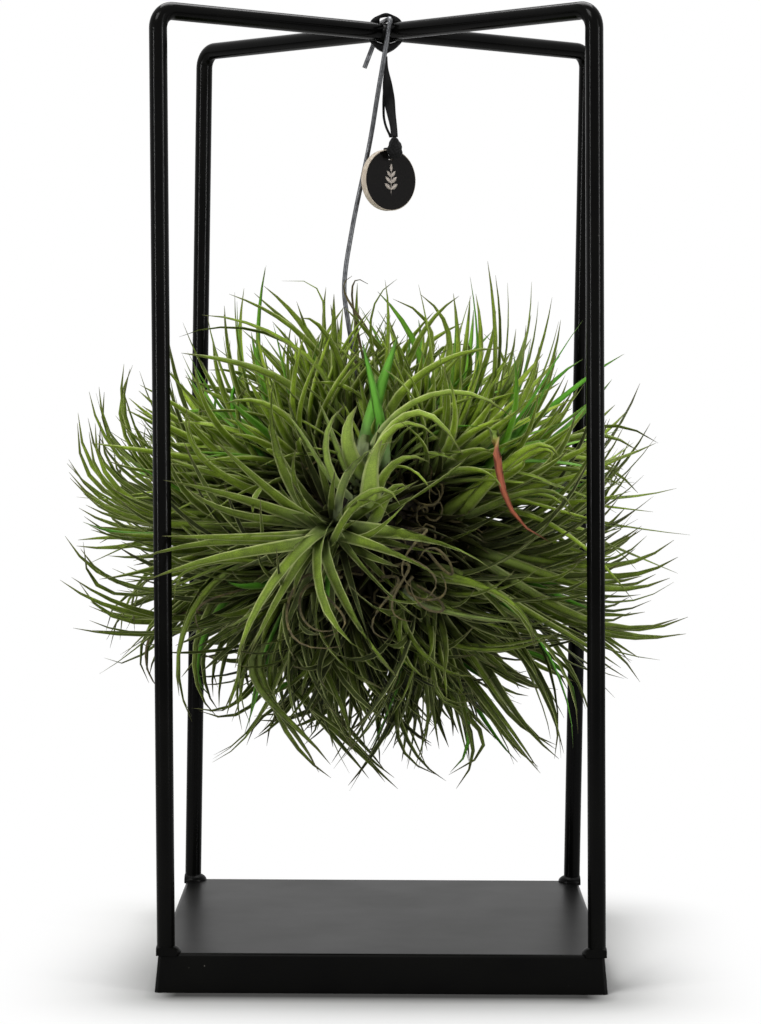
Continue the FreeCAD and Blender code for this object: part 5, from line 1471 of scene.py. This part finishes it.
# x and z of the leaf's foot, its length, half width in mm and its angle from upright in degrees
SPRIG = [
    (0.0, -7.0, 13.0, 0.22, 0),
    (0.0, -4.5, 4.6, 1.0, 52),
    (0.0, -4.5, 4.6, 1.0, -52),
    (0.0, -1.6, 4.4, 0.95, 46),
    (0.0, -1.6, 4.4, 0.95, -46),
    (0.0, 1.2, 3.8, 0.85, 38),
    (0.0, 1.2, 3.8, 0.85, -38),
    (0.0, 3.6, 4.0, 0.8, 0),
]


def almonds(rows):
    """Rings of four corners along each leaf: left edge, back, right edge, front."""
    table = np.array(rows, float)
    share = np.linspace(0, 1, ALMOND_POINTS)[None, :]
    slant = np.radians(table[:, 4])[:, None]
    along = table[:, 2][:, None] * share
    half = table[:, 3][:, None] * np.maximum(np.sin(math.pi * share), ALMOND_END)
    x = table[:, 0][:, None] + along * np.sin(slant)
    z = table[:, 1][:, None] + along * np.cos(slant)
    rings = []
    for side, rise in ((-1, 0.0), (0, -1.0), (1, 0.0), (0, 1.0)):
        across = side * half
        level = np.full_like(x, FACE_LEVEL + INK_MM * rise)
        rings.append(np.stack([x + across * np.cos(slant), level, z - across * np.sin(slant)], -1))
    return np.stack(rings, -2)


def pale_ink():
    """Matt off-white ink that lets a little of the black show through as fine grain."""
    material, tree, shader = new_material("pale_ink")
    place = add(tree, "ShaderNodeTexCoord").outputs["Object"]
    grain = add(tree, "ShaderNodeTexNoise", Vector=place, Scale=per_metre(INK_GRAIN_MM), Detail=2.0)
    tone = add(tree, "ShaderNodeValToRGB", stops=[(0.35, "#7d746c"), (0.6, "#b3aaa1")], Fac=grain)
    connect(tree, shader, Base_Color=tone, Roughness=0.7)
    return material


quads, caps = rings_to_faces(len(SPRIG), ALMOND_POINTS, 4)
sprig = piece_from_faces("tag_sprig", from_tag(almonds(SPRIG)).reshape(-1, 3), [quads, caps])
dress(sprig, pale_ink(), "pale_wood", "tag")
print("sprig of", len(SPRIG), "almonds")

# %% [markdown]
# The steel and the wood keep the shapes of the model and only get their finishes.

# %% Finishes for the model's own pieces
finishes = {
    "base_tray": coat,
    "front_left_rod": rod_coat,
    "front_right_rod": rod_coat,
    "rear_left_rod": rod_coat,
    "rear_right_rod": rod_coat,
    "crossing_weld": coat,
    "foot_welds": coat,
    "hanger_wire": zinc,
    "tag_disc": birch,
    "tag_face": paint,
}
for node, material in finishes.items():
    nodes[node].data.materials.clear()
    nodes[node].data.materials.append(material)
print("finished", len(finishes), "nodes")

# %% [markdown]
# The studio: a pale floor, a white surround and soft boxes. The white that the camera sees comes
# from the world and from the floor's far part, not from more light on the stand.

# %% Floor
TRAY_HALF = 98.0
SHADE_SHIFT = 8.0
FADE_MM = 92.0
# Greys of the painted shadow round the tray, darkest at its foot.
FLOOR_SHADE_GREYS = [(0.0, "#4a4a49"), (0.07, "#8c8c8b"), (0.16, "#b0b0af"), (0.4, "#c6c6c5"), (1.0, "#d2d2d1")]


def studio_floor():
    """Floor with a painted shadow: darker close to the tray, fading into plain white for the camera further
    out.

    The painted shadow follows the distance to a rectangle that stands a little in front of the tray: the
    length of |place| less half its sides, where that is above zero."""
    material = bpy.data.materials.new("studio_floor")
    tree = empty_tree(material)
    place = add(tree, "ShaderNodeTexCoord").outputs["Object"]
    half = ((TRAY_HALF - SHADE_SHIFT) * MM, TRAY_HALF * MM, 1.0)
    forwards = (0, SHADE_SHIFT * MM, 0)
    moved = add(tree, "ShaderNodeVectorMath", {"operation": "ADD"}, _0=place, _1=forwards)
    folded = add(tree, "ShaderNodeVectorMath", {"operation": "ABSOLUTE"}, _0=moved)
    past = add(tree, "ShaderNodeVectorMath", {"operation": "SUBTRACT"}, _0=folded, _1=half)
    beyond = add(tree, "ShaderNodeVectorMath", {"operation": "MAXIMUM"}, _0=past, _1=(0, 0, 0))
    reach = add(tree, "ShaderNodeVectorMath", {"operation": "LENGTH"}, _0=beyond)
    fade = {"_1": 0.0, "_2": FADE_MM * MM, "_3": 0.0, "_4": 1.0}
    near = add(tree, "ShaderNodeMapRange", Value=reach, **fade)
    far = add(tree, "ShaderNodeMapRange", {"interpolation_type": "SMOOTHSTEP"}, Value=reach, **fade)
    # Painted shadow: the floor's colour darkens towards the tray.
    floor_shade = add(tree, "ShaderNodeValToRGB", stops=FLOOR_SHADE_GREYS, Fac=near)
    matt = add(tree, "ShaderNodeBsdfDiffuse", Color=floor_shade)
    glow = add(tree, "ShaderNodeEmission", Color=WHITE, Strength=1.0)
    seen = add(tree, "ShaderNodeLightPath").outputs["Is Camera Ray"]
    share = add(tree, "ShaderNodeMath", {"operation": "MULTIPLY"}, _0=far, _1=seen)
    both = add(tree, "ShaderNodeMixShader", _0=share, _1=matt, _2=glow)
    add(tree, "ShaderNodeOutputMaterial", Surface=both)
    return material


FLOOR_HALF = 3000.0
floor_points = FLOOR_HALF * np.array([[-1, -1, 0], [1, -1, 0], [1, 1, 0], [-1, 1, 0]], float)
floor = piece_from_faces("studio_floor", floor_points, [np.array([[0, 1, 2, 3]])])
floor.data.materials.append(studio_floor())
print("floor of", 2 * FLOOR_HALF * MM, "metres")

# %% [markdown]
# Two large boxes light the stand from the front and from above, a fill box softens the right side,
# and two narrow strips draw the bright lines down the posts.

# %% Lights
LAMP_TARGET = np.array([0.0, 0.0, 0.22])
# name, place in metres, width and height in metres, power in watts
SOFT_BOXES = [
    ("key_box", (-0.6, -0.9, 1.5), (0.6, 0.6), 19.0),
    ("fill_box", (1.2, -1.1, 0.7), (0.3, 1.2), 4.0),
    ("top_box", (0.0, 0.45, 1.5), (1.0, 0.8), 22.0),
    ("left_strip", (-1.05, -0.72, 0.38), (0.05, 0.55), 6.0),
    ("right_strip", (1.05, -0.72, 0.38), (0.05, 0.55), 6.0),
]


def soft_box(name, place, size, power):
    """An area light at place, in metres, that faces the middle of the stand."""
    lamp = bpy.data.lights.new(name, "AREA")
    lamp.shape = "RECTANGLE"
    lamp.size, lamp.size_y = size
    lamp.energy = power
    light = bpy.data.objects.new(name, lamp)
    bpy.context.scene.collection.objects.link(light)
    back = unit(np.array(place) - LAMP_TARGET)
    side = unit(np.cross([0.0, 0.0, 1.0], back))
    matrix = np.column_stack([side, np.cross(back, side), back])
    light.matrix_world = Matrix.Translation(place) @ Matrix(matrix.tolist()).to_4x4()
    return light


for row in SOFT_BOXES:
    soft_box(*row)
print(len(SOFT_BOXES), "soft boxes")

# %% [markdown]
# The world is white for the camera and for what metal and glass mirror, and dim for the rest.

# %% Surround
SKY_STRENGTH = 0.19

world = bpy.data.worlds.new("studio")
bpy.context.scene.world = world
sky = empty_tree(world)
path = add(sky, "ShaderNodeLightPath").outputs
seen = add(sky, "ShaderNodeMath", {"operation": "ADD"}, _0=path["Is Camera Ray"], _1=path["Is Glossy Ray"])
clamped = {"operation": "ADD", "use_clamp": True}
seen = add(sky, "ShaderNodeMath", clamped, _0=seen, _1=path["Is Transmission Ray"])
dim = add(sky, "ShaderNodeBackground", Color=WHITE, Strength=SKY_STRENGTH)
white = add(sky, "ShaderNodeBackground", Color=WHITE, Strength=1.0)
both = add(sky, "ShaderNodeMixShader", _0=seen, _1=dim, _2=white)
add(sky, "ShaderNodeOutputWorld", Surface=both)
bpy.context.scene.view_settings.view_transform = "Standard"
print("studio ready")
